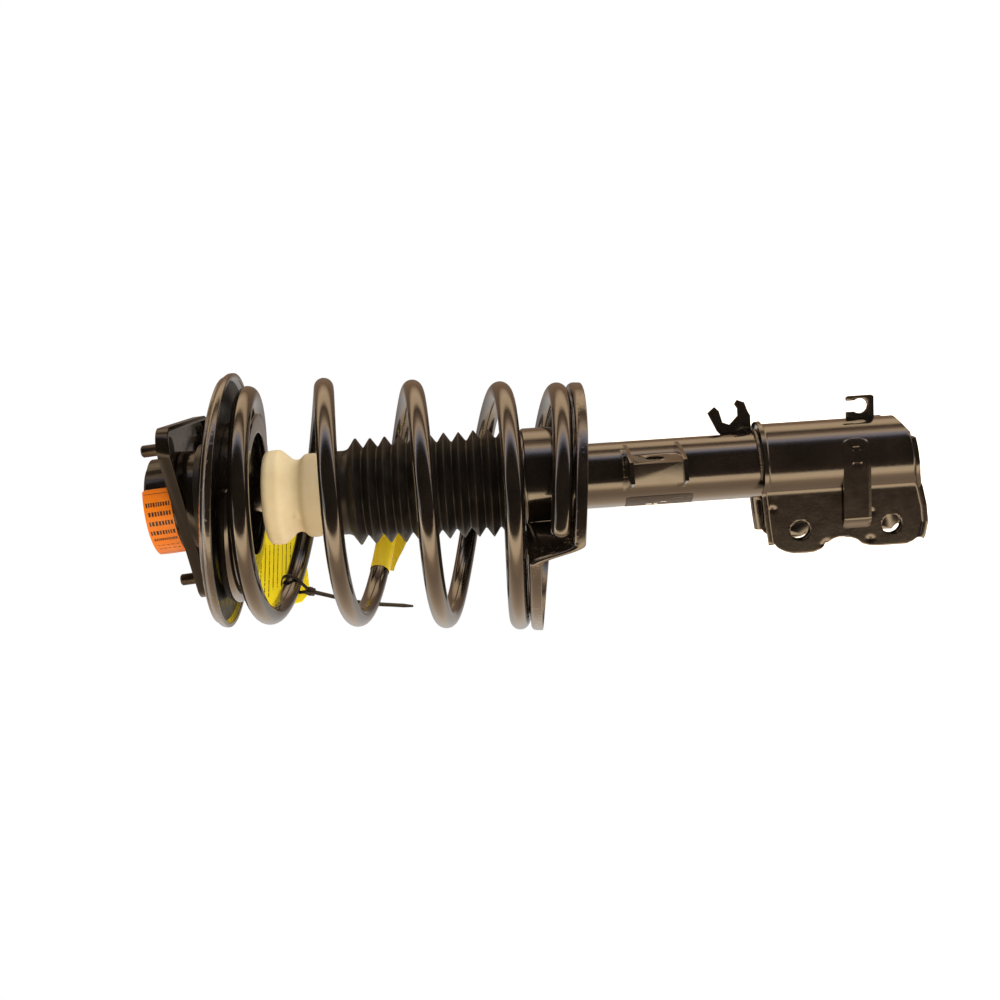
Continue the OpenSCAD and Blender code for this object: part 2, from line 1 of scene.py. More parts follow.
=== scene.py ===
"""Looks for the strut assembly: every visible surface, the floor, the lights and the camera."""
import math
import random

import bmesh
import bpy
import numpy as np
from mathutils import Matrix, Vector


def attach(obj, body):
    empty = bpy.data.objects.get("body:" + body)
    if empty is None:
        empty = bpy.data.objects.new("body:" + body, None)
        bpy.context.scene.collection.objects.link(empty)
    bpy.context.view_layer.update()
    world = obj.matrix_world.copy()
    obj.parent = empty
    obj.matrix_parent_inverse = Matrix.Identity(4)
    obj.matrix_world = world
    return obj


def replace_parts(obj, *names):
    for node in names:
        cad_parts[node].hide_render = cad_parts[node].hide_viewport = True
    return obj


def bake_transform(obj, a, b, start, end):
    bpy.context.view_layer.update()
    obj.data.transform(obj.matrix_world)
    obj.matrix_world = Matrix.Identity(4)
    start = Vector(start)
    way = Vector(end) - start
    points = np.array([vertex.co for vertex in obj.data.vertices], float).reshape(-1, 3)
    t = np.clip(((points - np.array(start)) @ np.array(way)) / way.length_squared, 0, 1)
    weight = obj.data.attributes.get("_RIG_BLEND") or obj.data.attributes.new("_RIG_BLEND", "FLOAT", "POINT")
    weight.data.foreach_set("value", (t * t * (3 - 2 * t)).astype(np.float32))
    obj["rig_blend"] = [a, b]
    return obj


MM = 0.001
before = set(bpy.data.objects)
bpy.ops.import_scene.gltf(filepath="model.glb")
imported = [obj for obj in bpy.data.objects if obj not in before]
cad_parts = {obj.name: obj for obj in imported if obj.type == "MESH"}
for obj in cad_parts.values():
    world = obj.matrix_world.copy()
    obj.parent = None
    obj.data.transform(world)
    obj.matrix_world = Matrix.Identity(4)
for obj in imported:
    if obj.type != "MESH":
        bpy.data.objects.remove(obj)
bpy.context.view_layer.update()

# Driving sizes, in millimetres and degrees, as in the part's own design.
MOUNT_LEAN = 4.0
SPRING_LEAN = 5.0
COIL_SKEW = 0.8
UPPER_SEAT_DROP = 31.5
WIRE_R = 6.75
COIL_R = 79.0
UPPER_SEAT_R = 88.0
DOME_R = 33.0
COLLAR_OFFSET = -5.0
TUBE_R = 22.5
WRAP_R = 25.3
ROD_R = 10.0
HUB_R = 36.0
HUB_TOP = -233.0
HUB_BOTTOM = -271.0
BOOT_TOP = -104.0
BOOT_BOTTOM = -232.0
BUMP_TOP = -57.3
BUMP_BOTTOM = -112.0
EAR_Y = 21.0
BLACK = "gloss_black_paint"

mount_place = Matrix.Rotation(math.radians(MOUNT_LEAN), 4, "Y")
spring_place = Matrix.Translation((0, 0, -UPPER_SEAT_DROP * MM)) @ Matrix.Rotation(
    math.radians(-SPRING_LEAN), 4, "Y"
)


# ---------------------------------------------------------------- materials


class NodeTree:
    """A node tree with short ways to add and link its nodes."""

    def __init__(self, tree):
        self.tree = tree

    def set(self, node, **values):
        for socket, value in values.items():
            node.inputs[socket.replace("_", " ")].default_value = value
        return node

    def add(self, kind, **values):
        return self.set(self.tree.nodes.new("ShaderNode" + kind), **values)

    def link(self, source, target):
        self.tree.links.new(source, target)


def colour_sockets(sockets):
    return [socket for socket in sockets if socket.type == "RGBA"]


class Shader(NodeTree):
    """A Principled material with short ways to add the nodes that these materials share."""

    def __init__(self, name, **constants):
        self.material = bpy.data.materials.new(name)
        self.material.use_nodes = True
        super().__init__(self.material.node_tree)
        self.surface = self.set(self.tree.nodes["Principled BSDF"], **constants)
        self.place = self.add("TexCoord").outputs["Object"]

    def noise(self, scale, detail=4.0, roughness=0.55, stretch=None):
        node = self.add("TexNoise", Scale=scale, Detail=detail, Roughness=roughness)
        source = self.place
        if stretch:
            mapping = self.add("Mapping", Scale=stretch)
            self.link(self.place, mapping.inputs["Vector"])
            source = mapping.outputs["Vector"]
        self.link(source, node.inputs["Vector"])
        return node.outputs["Fac"]

    def height(self):
        """The place along the rod, in metres."""
        split = self.add("SeparateXYZ")
        self.link(self.place, split.inputs["Vector"])
        return split.outputs["Z"]

    def cells(self, scale):
        node = self.add("TexVoronoi", Scale=scale)
        self.link(self.place, node.inputs["Vector"])
        return node.outputs["Distance"]

    def edges(self):
        """Bright where the surface bulges: along an edge, as wear and as a painted highlight."""
        return self.add("NewGeometry").outputs["Pointiness"]

    def spread(self, value, low, high, to_low=0.0, to_high=1.0):
        """Maps a value from one range to another, clamped."""
        node = self.add("MapRange", From_Min=low, From_Max=high, To_Min=to_low, To_Max=to_high)
        self.link(value, node.inputs["Value"])
        return node.outputs["Result"]

    def mix(self, share, first, second):
        """Mixes two colours; either may be a colour output or a tuple."""
        node = self.add("Mix")
        node.data_type = "RGBA"
        for socket, colour in zip(colour_sockets(node.inputs), (first, second)):
            if isinstance(colour, tuple):
                socket.default_value = (*colour, 1.0)
            else:
                self.link(colour, socket)
        self.link(share, node.inputs[0])
        return colour_sockets(node.outputs)[0]

    def bump(self, height, strength, depth, below=None):
        node = self.add("Bump", Strength=strength, Distance=depth)
        self.link(height, node.inputs["Height"])
        if below:
            self.link(below, node.inputs["Normal"])
        return node.outputs["Normal"]

    def finish(self, colour, roughness=None, normal=None):
        self.link(colour, self.surface.inputs["Base Color"])
        if roughness:
            self.link(roughness, self.surface.inputs["Roughness"])
        if normal:
            self.link(normal, self.surface.inputs["Normal"])
        return self.material


def gloss_paint(name, dark, light, peel=0.10, drips=0.0, coat=1.0, index=1.55):
    """Dipped black paint: orange peel, thin dust, thicker and rougher in places, lighter at bulging edges as
    wear and a painted highlight.
    """
    s = Shader(name, Coat_Weight=coat, Coat_Roughness=0.05, Coat_IOR=1.6, IOR=index)
    patches = s.spread(s.noise(38.0, 6.0), 0.35, 0.7)
    colour = s.mix(patches, dark, light)
    dust = s.spread(s.noise(1600.0, 2.0), 0.66, 0.78)
    colour = s.mix(s.spread(dust, 0.0, 1.0, 0.0, 0.18), colour, (0.09, 0.075, 0.06))
    # Lighter at bulging edges: partly wear, partly a painted highlight.
    edge_wear_and_highlight = s.spread(s.edges(), 0.58, 0.72, 0.0, 0.12)
    colour = s.mix(edge_wear_and_highlight, colour, (0.11, 0.085, 0.06))
    roughness = s.spread(s.noise(120.0, 5.0), 0.3, 0.75, 0.10, 0.22)
    normal = s.bump(s.noise(420.0, 2.0), peel, 0.0006)
    if drips:
        lumps = s.spread(s.cells(230.0), 0.0, 0.35, 1.0, 0.0)
        normal = s.bump(lumps, drips, 0.0008, normal)
    return s.finish(colour, roughness, normal)


def plain_metal(name, dark, light, rough_low, rough_high, stretch=None):
    """Bare or plated steel with fine tool marks and faint stains."""
    s = Shader(name, Metallic=1.0)
    colour = s.mix(s.spread(s.noise(90.0, 5.0), 0.3, 0.7), dark, light)
    marks = s.noise(900.0, 3.0, stretch=stretch)
    roughness = s.spread(marks, 0.3, 0.7, rough_low, rough_high)
    return s.finish(colour, roughness, s.bump(marks, 0.12, 0.0003))


def moulded_rubber(name, dark, light, rough_low, rough_high, grain):
    s = Shader(name, Specular_IOR_Level=0.30)
    colour = s.mix(s.spread(s.noise(60.0, 6.0), 0.35, 0.7), dark, light)
    bloom = s.spread(s.noise(26.0, 5.0), 0.52, 0.75, 0.0, 0.4)
    colour = s.mix(bloom, colour, (0.075, 0.068, 0.058))
    roughness = s.spread(s.noise(150.0, 4.0), 0.3, 0.7, rough_low, rough_high)
    normal = s.bump(s.noise(grain, 3.0), 0.10, 0.0004)
    return s.finish(colour, roughness, normal)


def foamed_urethane():
    """Ivory cellular urethane: a skin with faint mottling, flow marks, small open pores and painted shade
    low down.
    """
    s = Shader("ivory_urethane", Subsurface_Weight=0.12, Subsurface_Scale=0.004, Specular_IOR_Level=0.35)
    s.surface.inputs["Subsurface Radius"].default_value = (1.0, 0.75, 0.45)
    cloud = s.spread(s.noise(34.0, 7.0), 0.32, 0.72)
    colour = s.mix(cloud, (0.66, 0.58, 0.36), (0.80, 0.74, 0.53))
    fine = s.spread(s.noise(300.0, 5.0), 0.3, 0.7, 0.0, 0.35)
    colour = s.mix(fine, colour, (0.72, 0.63, 0.40))
    pores = s.spread(s.cells(900.0), 0.0, 0.16, 1.0, 0.0)
    colour = s.mix(s.spread(pores, 0.0, 1.0, 0.0, 0.35), colour, (0.42, 0.34, 0.18))
    # Painted shade: the urethane is darker from 70 mm to 86 mm down, over the neck and the lower lobe.
    painted_shade_low = s.spread(s.height(), -0.086, -0.070, 0.65, 0.0)
    colour = s.mix(painted_shade_low, colour, (0.40, 0.36, 0.26))
    roughness = s.spread(s.noise(200.0, 4.0), 0.3, 0.7, 0.42, 0.62)
    normal = s.bump(s.noise(260.0, 6.0), 0.22, 0.0006)
    normal = s.bump(s.spread(pores, 0.0, 1.0, 1.0, 0.0), 0.35, 0.0003, normal)
    return s.finish(colour, roughness, normal)


def label_stock(name, base, shade, fibre=(0.9, 0.9, 0.9), glow=0.0):
    """Printed film or card: colour drift, fibre and shallow creases; the tag's card has a painted glow, an
    emission that stands in for light falling on it.
    """
    s = Shader(name, Specular_IOR_Level=0.4, Emission_Strength=glow)
    s.surface.inputs["Emission Color"].default_value = (*base, 1.0)
    colour = s.mix(s.spread(s.noise(45.0, 5.0), 0.3, 0.75), base, shade)
    flecks = s.spread(s.noise(1500.0, 2.0), 0.62, 0.8, 0.0, 0.25)
    colour = s.mix(flecks, colour, fibre)
    roughness = s.spread(s.noise(220.0, 4.0), 0.3, 0.7, 0.32, 0.5)
    creases = s.bump(s.noise(70.0, 3.0), 0.25, 0.0010)
    return s.finish(colour, roughness, s.bump(s.noise(1400.0, 2.0), 0.08, 0.0002, creases))


def print_ink():
    """Black print, a little worn through where the film is rubbed."""
    s = Shader("print_ink", Specular_IOR_Level=0.4)
    rubbed = s.spread(s.noise(1300.0, 3.0), 0.60, 0.74, 0.0, 0.45)
    colour = s.mix(rubbed, (0.018, 0.014, 0.012), (0.16, 0.11, 0.05))
    return s.finish(colour, s.spread(s.noise(300.0), 0.3, 0.7, 0.35, 0.55))


paint = gloss_paint("gloss_black_paint", (0.0045, 0.0035, 0.0026), (0.011, 0.0085, 0.0065))
mount_paint = gloss_paint(
    "mount_paint", (0.0040, 0.0032, 0.0025), (0.009, 0.007, 0.0055), coat=0.1, index=1.33
)
seat_paint = gloss_paint("seat_paint", (0.0045, 0.0035, 0.0026), (0.012, 0.009, 0.007), 0.14, 0.35)
spring_paint = gloss_paint("spring_paint", (0.0040, 0.0032, 0.0024), (0.009, 0.007, 0.0055), 0.08)
weld_paint = gloss_paint("weld_paint", (0.010, 0.008, 0.006), (0.032, 0.026, 0.020), 0.35, 0.5)
rubber = moulded_rubber("black_rubber", (0.006, 0.0055, 0.005), (0.013, 0.0115, 0.010), 0.30, 0.46, 500.0)
cap_rubber = moulded_rubber("cap_rubber", (0.007, 0.006, 0.005), (0.014, 0.012, 0.009), 0.45, 0.65, 380.0)
nylon = moulded_rubber("black_nylon", (0.008, 0.008, 0.008), (0.016, 0.015, 0.014), 0.28, 0.42, 900.0)
urethane = foamed_urethane()
dark_stud = plain_metal("black_oxide_stud", (0.035, 0.030, 0.026), (0.085, 0.072, 0.060), 0.34, 0.52)
zinc = plain_metal("zinc_plate", (0.42, 0.40, 0.36), (0.62, 0.60, 0.54), 0.24, 0.42)
turned = plain_metal("turned_steel", (0.45, 0.45, 0.45), (0.66, 0.65, 0.63), 0.18, 0.36, (1, 1, 14))
chrome = plain_metal("hard_chrome", (0.70, 0.70, 0.71), (0.80, 0.80, 0.81), 0.05, 0.12, (1, 1, 20))
brass_ring = plain_metal("eyelet_brass", (0.36, 0.16, 0.05), (0.52, 0.26, 0.09), 0.3, 0.5)
seal_plastic = moulded_rubber("seal_plastic", (0.05, 0.05, 0.05), (0.09, 0.09, 0.085), 0.3, 0.45, 700.0)
orange = label_stock("orange_label", (0.60, 0.15, 0.002), (0.72, 0.20, 0.004), (0.75, 0.35, 0.08))
yellow = label_stock("yellow_tag", (0.80, 0.64, 0.010), (0.90, 0.74, 0.02), (0.95, 0.85, 0.3))
# The tag's card emits light: a painted glow that brightens it as if more light fell on it.
card = label_stock("tag_card_painted_glow", (0.86, 0.68, 0.016), (0.92, 0.76, 0.03), (0.95, 0.85, 0.3), 0.42)
tube_film = label_stock("tube_film", (0.02, 0.018, 0.016), (0.035, 0.03, 0.027), (0.1, 0.1, 0.1))
white_film = label_stock("white_film", (0.72, 0.69, 0.62), (0.82, 0.79, 0.72))
ink = print_ink()


# ---------------------------------------------------------------- mesh helpers


def mesh_object(name, points, faces, material, place=None, smooth=True):
    """A new object from points in millimetres."""
    mesh = bpy.data.meshes.new(name)
    mesh.from_pydata([tuple(float(c) * MM for c in p) for p in points], [], faces)
    if place is not None:
        mesh.transform(place)
    build = bmesh.new()
    build.from_mesh(mesh)
    bmesh.ops.recalc_face_normals(build, faces=build.faces)
    build.to_mesh(mesh)
    build.free()
    if smooth:
        mesh.shade_smooth()
    mesh.materials.append(material)
    made = bpy.data.objects.new(name, mesh)
    bpy.context.scene.collection.objects.link(made)
    return made


def grid_faces(rows, columns, close_rows=False, close_columns=True):
    """Quads over a grid of points, row by row."""
    faces = []
    for i in range(rows if close_rows else rows - 1):
        for j in range(columns if close_columns else columns - 1):
            here, there = i * columns, (i + 1) % rows * columns
            k = (j + 1) % columns
            faces.append((here + j, here + k, there + k, there + j))
    return faces


def rounded(corners, steps=5):
    """A closed outline through (a, b, radius) corners, each turned into a small curve."""
    line = []
    count = len(corners)
    for i, (a, b, radius) in enumerate(corners):
        here = Vector((a, b))
        before = Vector(corners[i - 1][:2]) - here
        after = Vector(corners[(i + 1) % count][:2]) - here
        reach = min(radius, before.length * 0.48, after.length * 0.48)
        if reach < 0.01:
            line.append(here)
            continue
        start, end = here + before.normalized() * reach, here + after.normalized() * reach
        for k in range(steps + 1):
            t = k / steps
            line.append(start * (1 - t) ** 2 + here * 2 * t * (1 - t) + end * t * t)
    return line


def lathe(name, outline, material, place=None, steps=160, wander=None):
    """Turns a closed outline of (radius, height) about the axis."""
    points = []
    for i in range(steps):
        a = 2 * math.pi * i / steps
        for r, z in outline:
            reach = r + (wander(a, r, z) if wander else 0.0)
            points.append((reach * math.cos(a), reach * math.sin(a), z))
    return mesh_object(name, points, grid_faces(steps, len(outline), True), material, place)


def closed_tube(name, rings, material, place=None):
    """A skin through rings of points with flat ends."""
    sides = len(rings[0])
    points = [p for ring in rings for p in ring]
    faces = grid_faces(len(rings), sides)
    faces.append(tuple(range(sides)))
    faces.append(tuple(range((len(rings) - 1) * sides, len(rings) * sides)))
    return mesh_object(name, points, faces, material, place)


def rings_along(path, radius, sides=16, flat=1.0):
    """Rings of points square to a path; radius may be a number or a function of the share."""
    path = [Vector(p) for p in path]
    rings = []
    side = None
    for i, p in enumerate(path):
        ahead = (path[min(i + 1, len(path) - 1)] - path[max(i - 1, 0)]).normalized()
        if side is None:
            side = ahead.orthogonal().normalized()
        side = (side - ahead * side.dot(ahead)).normalized()
        up = ahead.cross(side)
        r = radius(i / (len(path) - 1)) if callable(radius) else radius
        rings.append(
            [
                p + side * r * math.cos(a) + up * r * flat * math.sin(a)
                for a in (2 * math.pi * k / sides for k in range(sides))
            ]
        )
    return rings


def weld_bead(name, path, radius, place=None):
    """A bead with the ripples that the arc leaves, along a path."""
    length = sum((Vector(a) - Vector(b)).length for a, b in zip(path, path[1:]))
    ripple_step, ring_step = 1.9, 0.45
    steps = max(24, int(length / ring_step))
    spots = np.array([tuple(p) for p in path], float)
    gone = np.concatenate([[0], np.cumsum(np.linalg.norm(np.diff(spots, axis=0), axis=1))])
    dice = random.Random(name)
    tone = [dice.uniform(0.85, 1.12) for _ in range(steps + 1)]
    places = [
        [np.interp(s, gone, spots[:, axis]) for axis in range(3)]
        for s in np.linspace(0, gone[-1], steps + 1)
    ]
    ripple = 2 * math.pi * length / ripple_step

    def bead_radius(share):
        ends = min(1.0, 8 * share + 0.25, 8 * (1 - share) + 0.25)
        return radius * ends * tone[int(share * steps)] * (1 + 0.10 * math.sin(ripple * share))

    return closed_tube(name, rings_along(places, bead_radius, 12), weld_paint, place)


def softened_copy(node, name, material, bevel, segments=3):
    """The CAD shape with its sharp edges turned into small curves."""
    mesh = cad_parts[node].data.copy()
    mesh.name = name
    build = bmesh.new()
    build.from_mesh(mesh)
    bmesh.ops.remove_doubles(build, verts=build.verts, dist=1e-6)
    bmesh.ops.dissolve_limit(
        build, angle_limit=math.radians(0.4), verts=build.verts, edges=build.edges
    )
    build.to_mesh(mesh)
    build.free()
    mesh.materials.clear()
    mesh.materials.append(material)
    made = bpy.data.objects.new(name, mesh)
    bpy.context.scene.collection.objects.link(made)
    for polygon in mesh.polygons:
        polygon.use_smooth = True
    edge = made.modifiers.new("edges", "BEVEL")
    edge.width = bevel * MM
    edge.segments = segments
    edge.limit_method = "ANGLE"
    edge.angle_limit = math.radians(28)
    edge.harden_normals = True
    edge.use_clamp_overlap = True
    return made


def freeze(made, *cutters):
    """Applies the piece's modifiers and removes the objects that cut it."""
    graph = bpy.context.evaluated_depsgraph_get()
    mesh = bpy.data.meshes.new_from_object(made.evaluated_get(graph))
    made.modifiers.clear()
    made.data = mesh
    mesh.set_sharp_from_angle(angle=math.radians(35))
    for cutter in cutters:
        bpy.data.objects.remove(cutter)


def add_cutter(name, spots, radius, reach, place=None):
    """A round rod through each spot, along Y unless placed otherwise, to cut holes with."""
    sides = 48
    points, faces = [], []
    for x, y, z in spots:
        base = len(points)
        for end in (y - reach, y + reach):
            for k in range(sides):
                a = 2 * math.pi * k / sides
                points.append((x + radius * math.cos(a), end, z + radius * math.sin(a)))
        faces += [(base + k, base + (k + 1) % sides, base + sides + (k + 1) % sides, base + sides + k)
                  for k in range(sides)]
        faces.append(tuple(range(base, base + sides)))
        faces.append(tuple(range(base + sides, base + 2 * sides)))
    return mesh_object(name, points, faces, paint, place)


def pressed_sheet(name, rows, material, thickness, bevel, cutters=()):
    """A sheet from rows of points on one face, with thickness, holes and softened edges.
    The rows' normals are mesh_object's, so the thickness may go to either side of them."""
    points = [p for row in rows for p in row]
    made = mesh_object(name, points, grid_faces(len(rows), len(rows[0]), False, False), material)
    solid = made.modifiers.new("thickness", "SOLIDIFY")
    solid.thickness = abs(thickness) * MM
    solid.offset = -1.0 if thickness > 0 else 1.0
    solid.use_even_offset = False
    for cutter in cutters:
        hole = made.modifiers.new("hole", "BOOLEAN")
        hole.operation = "DIFFERENCE"
        hole.solver = "EXACT"
        hole.object = cutter
    edge = made.modifiers.new("edges", "BEVEL")
    edge.width = bevel * MM
    edge.segments = 2
    edge.limit_method = "ANGLE"
    edge.angle_limit = math.radians(50)
    freeze(made, *cutters)
    return made


def smooth_step(value, low, high):
    t = min(1.0, max(0.0, (value - low) / (high - low)))
    return t * t * (3 - 2 * t)


def settle(piece, body, slot, *nodes):
    """Rides on a body and stands for the CAD nodes that it replaces; slot is not used."""
    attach(piece, body)
    if nodes:
        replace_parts(piece, *nodes)
    return piece


def wrapped_boxes(name, boxes, to_point, material, place=None):
    """Flat boxes laid on a curved surface; to_point turns (a, b) into a point."""
    points, faces = [], []
    steps = 6
    for a0, a1, b0, b1 in boxes:
        base = len(points)
        for i in range(steps + 1):
            a = a0 + (a1 - a0) * i / steps
            points += [to_point(a, b0), to_point(a, b1)]
        for i in range(steps):
            k = base + 2 * i
            faces.append((k, k + 1, k + 3, k + 2))
    return mesh_object(name, points, faces, material, place)


# ---------------------------------------------------------------- coil spring

SPRING_START = -0.8
SPRING_END = 4.255
END_PITCH = 1.5
PITCH_CHANGES = [(0.1, 0.9, 60.8), (3.0, 0.3, 39.0), (4.0, 0.3, 0.5)]
FULL_COIL_TURN = 0.5
PIGTAIL_SHRINK = 20.0


def ramp_area(t):
    """Integral of a smooth step from 0 to 1 over the unit range."""
    if t <= 0:
        return 0.0
    return t - 0.5 if t >= 1 else t**3 - t**4 / 2


def coil_drop(turn):
    drop = WIRE_R + 0.6 + END_PITCH * (turn - SPRING_START)
    pitch = END_PITCH
    for middle, span, new_pitch in PITCH_CHANGES:
        drop += (new_pitch - pitch) * span * ramp_area((turn - middle) / span + 0.5)
        pitch = new_pitch
    return drop


def coil_radius(turn):
    share = max(0.0, (FULL_COIL_TURN - turn) / (FULL_COIL_TURN - SPRING_START))
    return COIL_R - PIGTAIL_SHRINK * share**1.2


def coil_place(radius, turn, drop):
    a = math.radians(180 - 360 * turn)
    x, y = radius * math.cos(a), radius * math.sin(a)
    return Vector((x, y, x * math.tan(math.radians(COIL_SKEW)) - drop))


def coil_point(turn):
    return coil_place(coil_radius(turn), turn, coil_drop(turn))


def wire_direction(turn):
    return (coil_point(turn + 0.002) - coil_point(turn - 0.002)).normalized()


def wire_rings(start, end, steps, radius, sides):
    """Rings round the wire; radius is a function of the share along this stretch."""
    rings, turns = [], []
    for i in range(steps + 1):
        share = i / steps
        turn = start + (end - start) * share
        along = wire_direction(turn)
        side = along.cross(Vector((0, 0, 1))).normalized()
        up = side.cross(along)
        r = radius(share)
        middle = coil_point(turn)
        for k in range(sides):
            a = 2 * math.pi * k / sides
            rings.append(middle + side * r * math.cos(a) + up * r * math.sin(a))
            turns.append(turn)
    return [rings[i * sides : (i + 1) * sides] for i in range(steps + 1)], turns


def follow_share(turn):
    """How far a place on the wire follows the lower seat, from 0 at the top to 1 at the bottom."""
    top, bottom = coil_drop(0.0), coil_drop(4.0)
    return min(1.0, max(0.0, (coil_drop(turn) - top) / (bottom - top)))


def set_shares(piece, shares):
    """Gives each point its own share of the way from the first body to the second."""
    weights = piece.data.attributes["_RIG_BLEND"].data
    weights.foreach_set("value", np.array(shares, np.float32))


def bend_with_spring(piece, shares):
    """Bends a piece between the two seats, with its own share for each point."""
    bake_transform(piece, "swivel", "strut", start=(0, 0, -36 * MM), end=(0, 0, -260 * MM))
    set_shares(piece, shares)


def make_spring():
    sides = 28
    sweep = SPRING_END - SPRING_START
    steps = 760

    def radius(share):
        end = min(share, 1 - share) * sweep * 2 * math.pi * COIL_R
        return WIRE_R if end > 0.7 else WIRE_R - 0.7 + end

    rings, turns = wire_rings(SPRING_START, SPRING_END, steps, radius, sides)
    spring = closed_tube("spring_wire", rings, spring_paint, spring_place)
    bend_with_spring(spring, [follow_share(t) for t in turns])
    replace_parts(spring, "coil_spring")


def make_spring_sticker():
    """A sticker folded round the wire: its two halves meet in a flag that stands off one side."""
    start, end, steps, sides = 1.607, 1.685, 36, 40
    rings, turns = wire_rings(start, end, steps, lambda share: WIRE_R + 0.35, sides)
    points = [p for ring in rings for p in ring]
    sleeve = mesh_object(
        "sticker_sleeve", points, grid_faces(steps + 1, sides), yellow, spring_place
    )
    bend_with_spring(sleeve, [follow_share(t) for t in turns])
    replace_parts(sleeve, "spring_sticker")
    for i, (low, high, first, wide) in enumerate(
        [(0.12, 0.16, 3, 7), (0.22, 0.26, 4, 5), (0.34, 0.40, 3, 6), (0.86, 0.875, 2, 9)]
    ):
        span = end - start
        rings, turns = wire_rings(
            start + span * low, start + span * high, 4, lambda share: WIRE_R + 0.42, 48
        )
        strip = [ring[20 + first : 20 + first + wide] for ring in rings]
        points = [p for ring in strip for p in ring]
        line = mesh_object(
            f"sticker_print_{i}", points, grid_faces(5, wide, False, False), ink, spring_place
        )
        bend_with_spring(line, [follow_share(turns[48 * k]) for k in range(5) for _ in range(wide)])
    make_sticker_flag(start + 0.006, end)


def make_sticker_flag(start, end):
    """The sticker's two ends, stuck together into a flag that stands off the wire."""
    steps, across = 30, 10
    points, turns = [], []
    for i in range(steps + 1):
        turn = start + (end - start) * i / steps
        down = Vector((0, 0, -1))
        along = wire_direction(turn)
        out = (down - along * down.dot(along)).normalized()
        lift = along.cross(out)
        wide = 3.0 + 5.5 * smooth_step(i / steps, 0.0, 0.8)
        for j in range(across + 1):
            reach = wide * j / across
            ripple = 0.5 * math.sin(i / 4 + j / 5) * j / across
            points.append(coil_point(turn) + out * (WIRE_R + 0.2 + reach) + lift * (ripple + 2))
            turns.append(turn)
    flag = mesh_object(
        "sticker_flag", points, grid_faces(steps + 1, across + 1, False, False), yellow, spring_place
    )
    bend_with_spring(flag, [follow_share(t) for t in turns])


# ---------------------------------------------------------------- tag and tie

TIE_TURN = 0.575
TIE_W = 3.6
TIE_T = 1.3
TIE_ROUTE = [
    (80, -41, -74), (86, -44, -90), (92, -48, -105), (96, -52, -119), (99, -56, -133), (102, -60, -147),
]
TAG_HEADING = math.radians(-48.0)
TAG_DISTANCE = COIL_R + WIRE_R + 1.2
TAG_EYELET = (27.0, -53.3)
TAG_LEFT = [(-72.5, 24), (-69, -8), (-64, -20), (-60, -26), (-31, -30)]
TAG_RIGHT = [(-72.5, 28), (-67, 35), (-62, 36), (-42, 36), (-36, 34), (-31, 31)]


def tag_point(a, z, lift=0.0):
    """A point on the tag from its drawing; the card curls a little."""
    curl = 1.1 * math.sin((a + 20) / 22) + 0.5 * math.cos(z / 9)
    out = TAG_DISTANCE + 0.9 + curl * 0.5 + lift
    c, s = math.cos(TAG_HEADING), math.sin(TAG_HEADING)
    return (3 + out * c - a * s, out * s + a * c, z)


def hang(piece, share):
    """Rides with the place on the spring that it is tied to."""
    bend_with_spring(piece, [share] * len(piece.data.vertices))
    return piece


def make_tag():
    share = follow_share(TIE_TURN)
    rows = []
    for i in range(41):
        z = -72.2 + 41 * i / 40
        left, right = between(TAG_LEFT, z), between(TAG_RIGHT, z)
        rows.append([tag_point(left + (right - left) * j / 30, z) for j in range(31)])
    sheet = pressed_sheet("tag_card", rows, card, 0.5, 0.1)
    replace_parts(hang(sheet, share), "hang_tag")
    boxes = []
    dice = random.Random("tag")
    for i in range(11):
        z, a, stop = -67.5 + 3.1 * i, -16.0 + dice.uniform(0, 3), 30.0 - dice.uniform(0, 12)
        if i == 5:
            boxes.append((-18, 24, z, z + 0.35))
            continue
        while a < stop:
            length = dice.uniform(0.5, 1.6)
            if math.hypot(a - TAG_EYELET[0], z - TAG_EYELET[1]) > 7:
                boxes.append((a, a + length, z, z + 0.75))
            a += length + dice.choice((0.45, 0.45, 0.45, 1.3))
    for lift, name in ((0.75, "tag_print_front"), (-0.75, "tag_print_back")):
        ink_lines = wrapped_boxes(name, boxes, lambda a, b: tag_point(a, b, lift), ink)
        hang(ink_lines, share)
    ring = []
    for k in range(33):
        a = 2 * math.pi * k / 32
        ring.append(tag_point(TAG_EYELET[0] + 3.1 * math.cos(a), TAG_EYELET[1] + 3.1 * math.sin(a)))
    eyelet = closed_tube("tag_ring", rings_along(ring, 0.95, 12), brass_ring)
    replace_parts(hang(eyelet, share), "tag_eyelet")


def curve_through(spots, steps):
    """A smooth path through a few points."""
    spots = [Vector(p) for p in spots]
    padded = [spots[0] * 2 - spots[1], *spots, spots[-1] * 2 - spots[-2]]
    path = []
    for i in range(len(spots) - 1):
        p0, p1, p2, p3 = padded[i : i + 4]
        for k in range(steps):
            t = k / steps
            path.append(
                0.5 * (2 * p1 + (p2 - p0) * t + (2 * p0 - 5 * p1 + 4 * p2 - p3) * t * t
                       + (3 * p1 - p0 - 3 * p2 + p3) * t**3)
            )
    path.append(spots[-1])
    return path


def strip_rings(path, across, width, thick):
    """Flat strip sections along a path; width and thick are functions of the share."""
    rings = []
    last = len(path) - 1
    for i, p in enumerate(path):
        ahead = (path[min(i + 1, last)] - path[max(i - 1, 0)]).normalized()
        side = (across - ahead * across.dot(ahead)).normalized()
        up = ahead.cross(side)
        w, t = width(i / last) / 2, thick(i / last) / 2
        outline = rounded([(-w, -t, t * 0.6), (w, -t, t * 0.6), (w, t, t * 0.6), (-w, t, t * 0.6)], 3)
        rings.append([p + side * a + up * b for a, b in outline])
    return rings


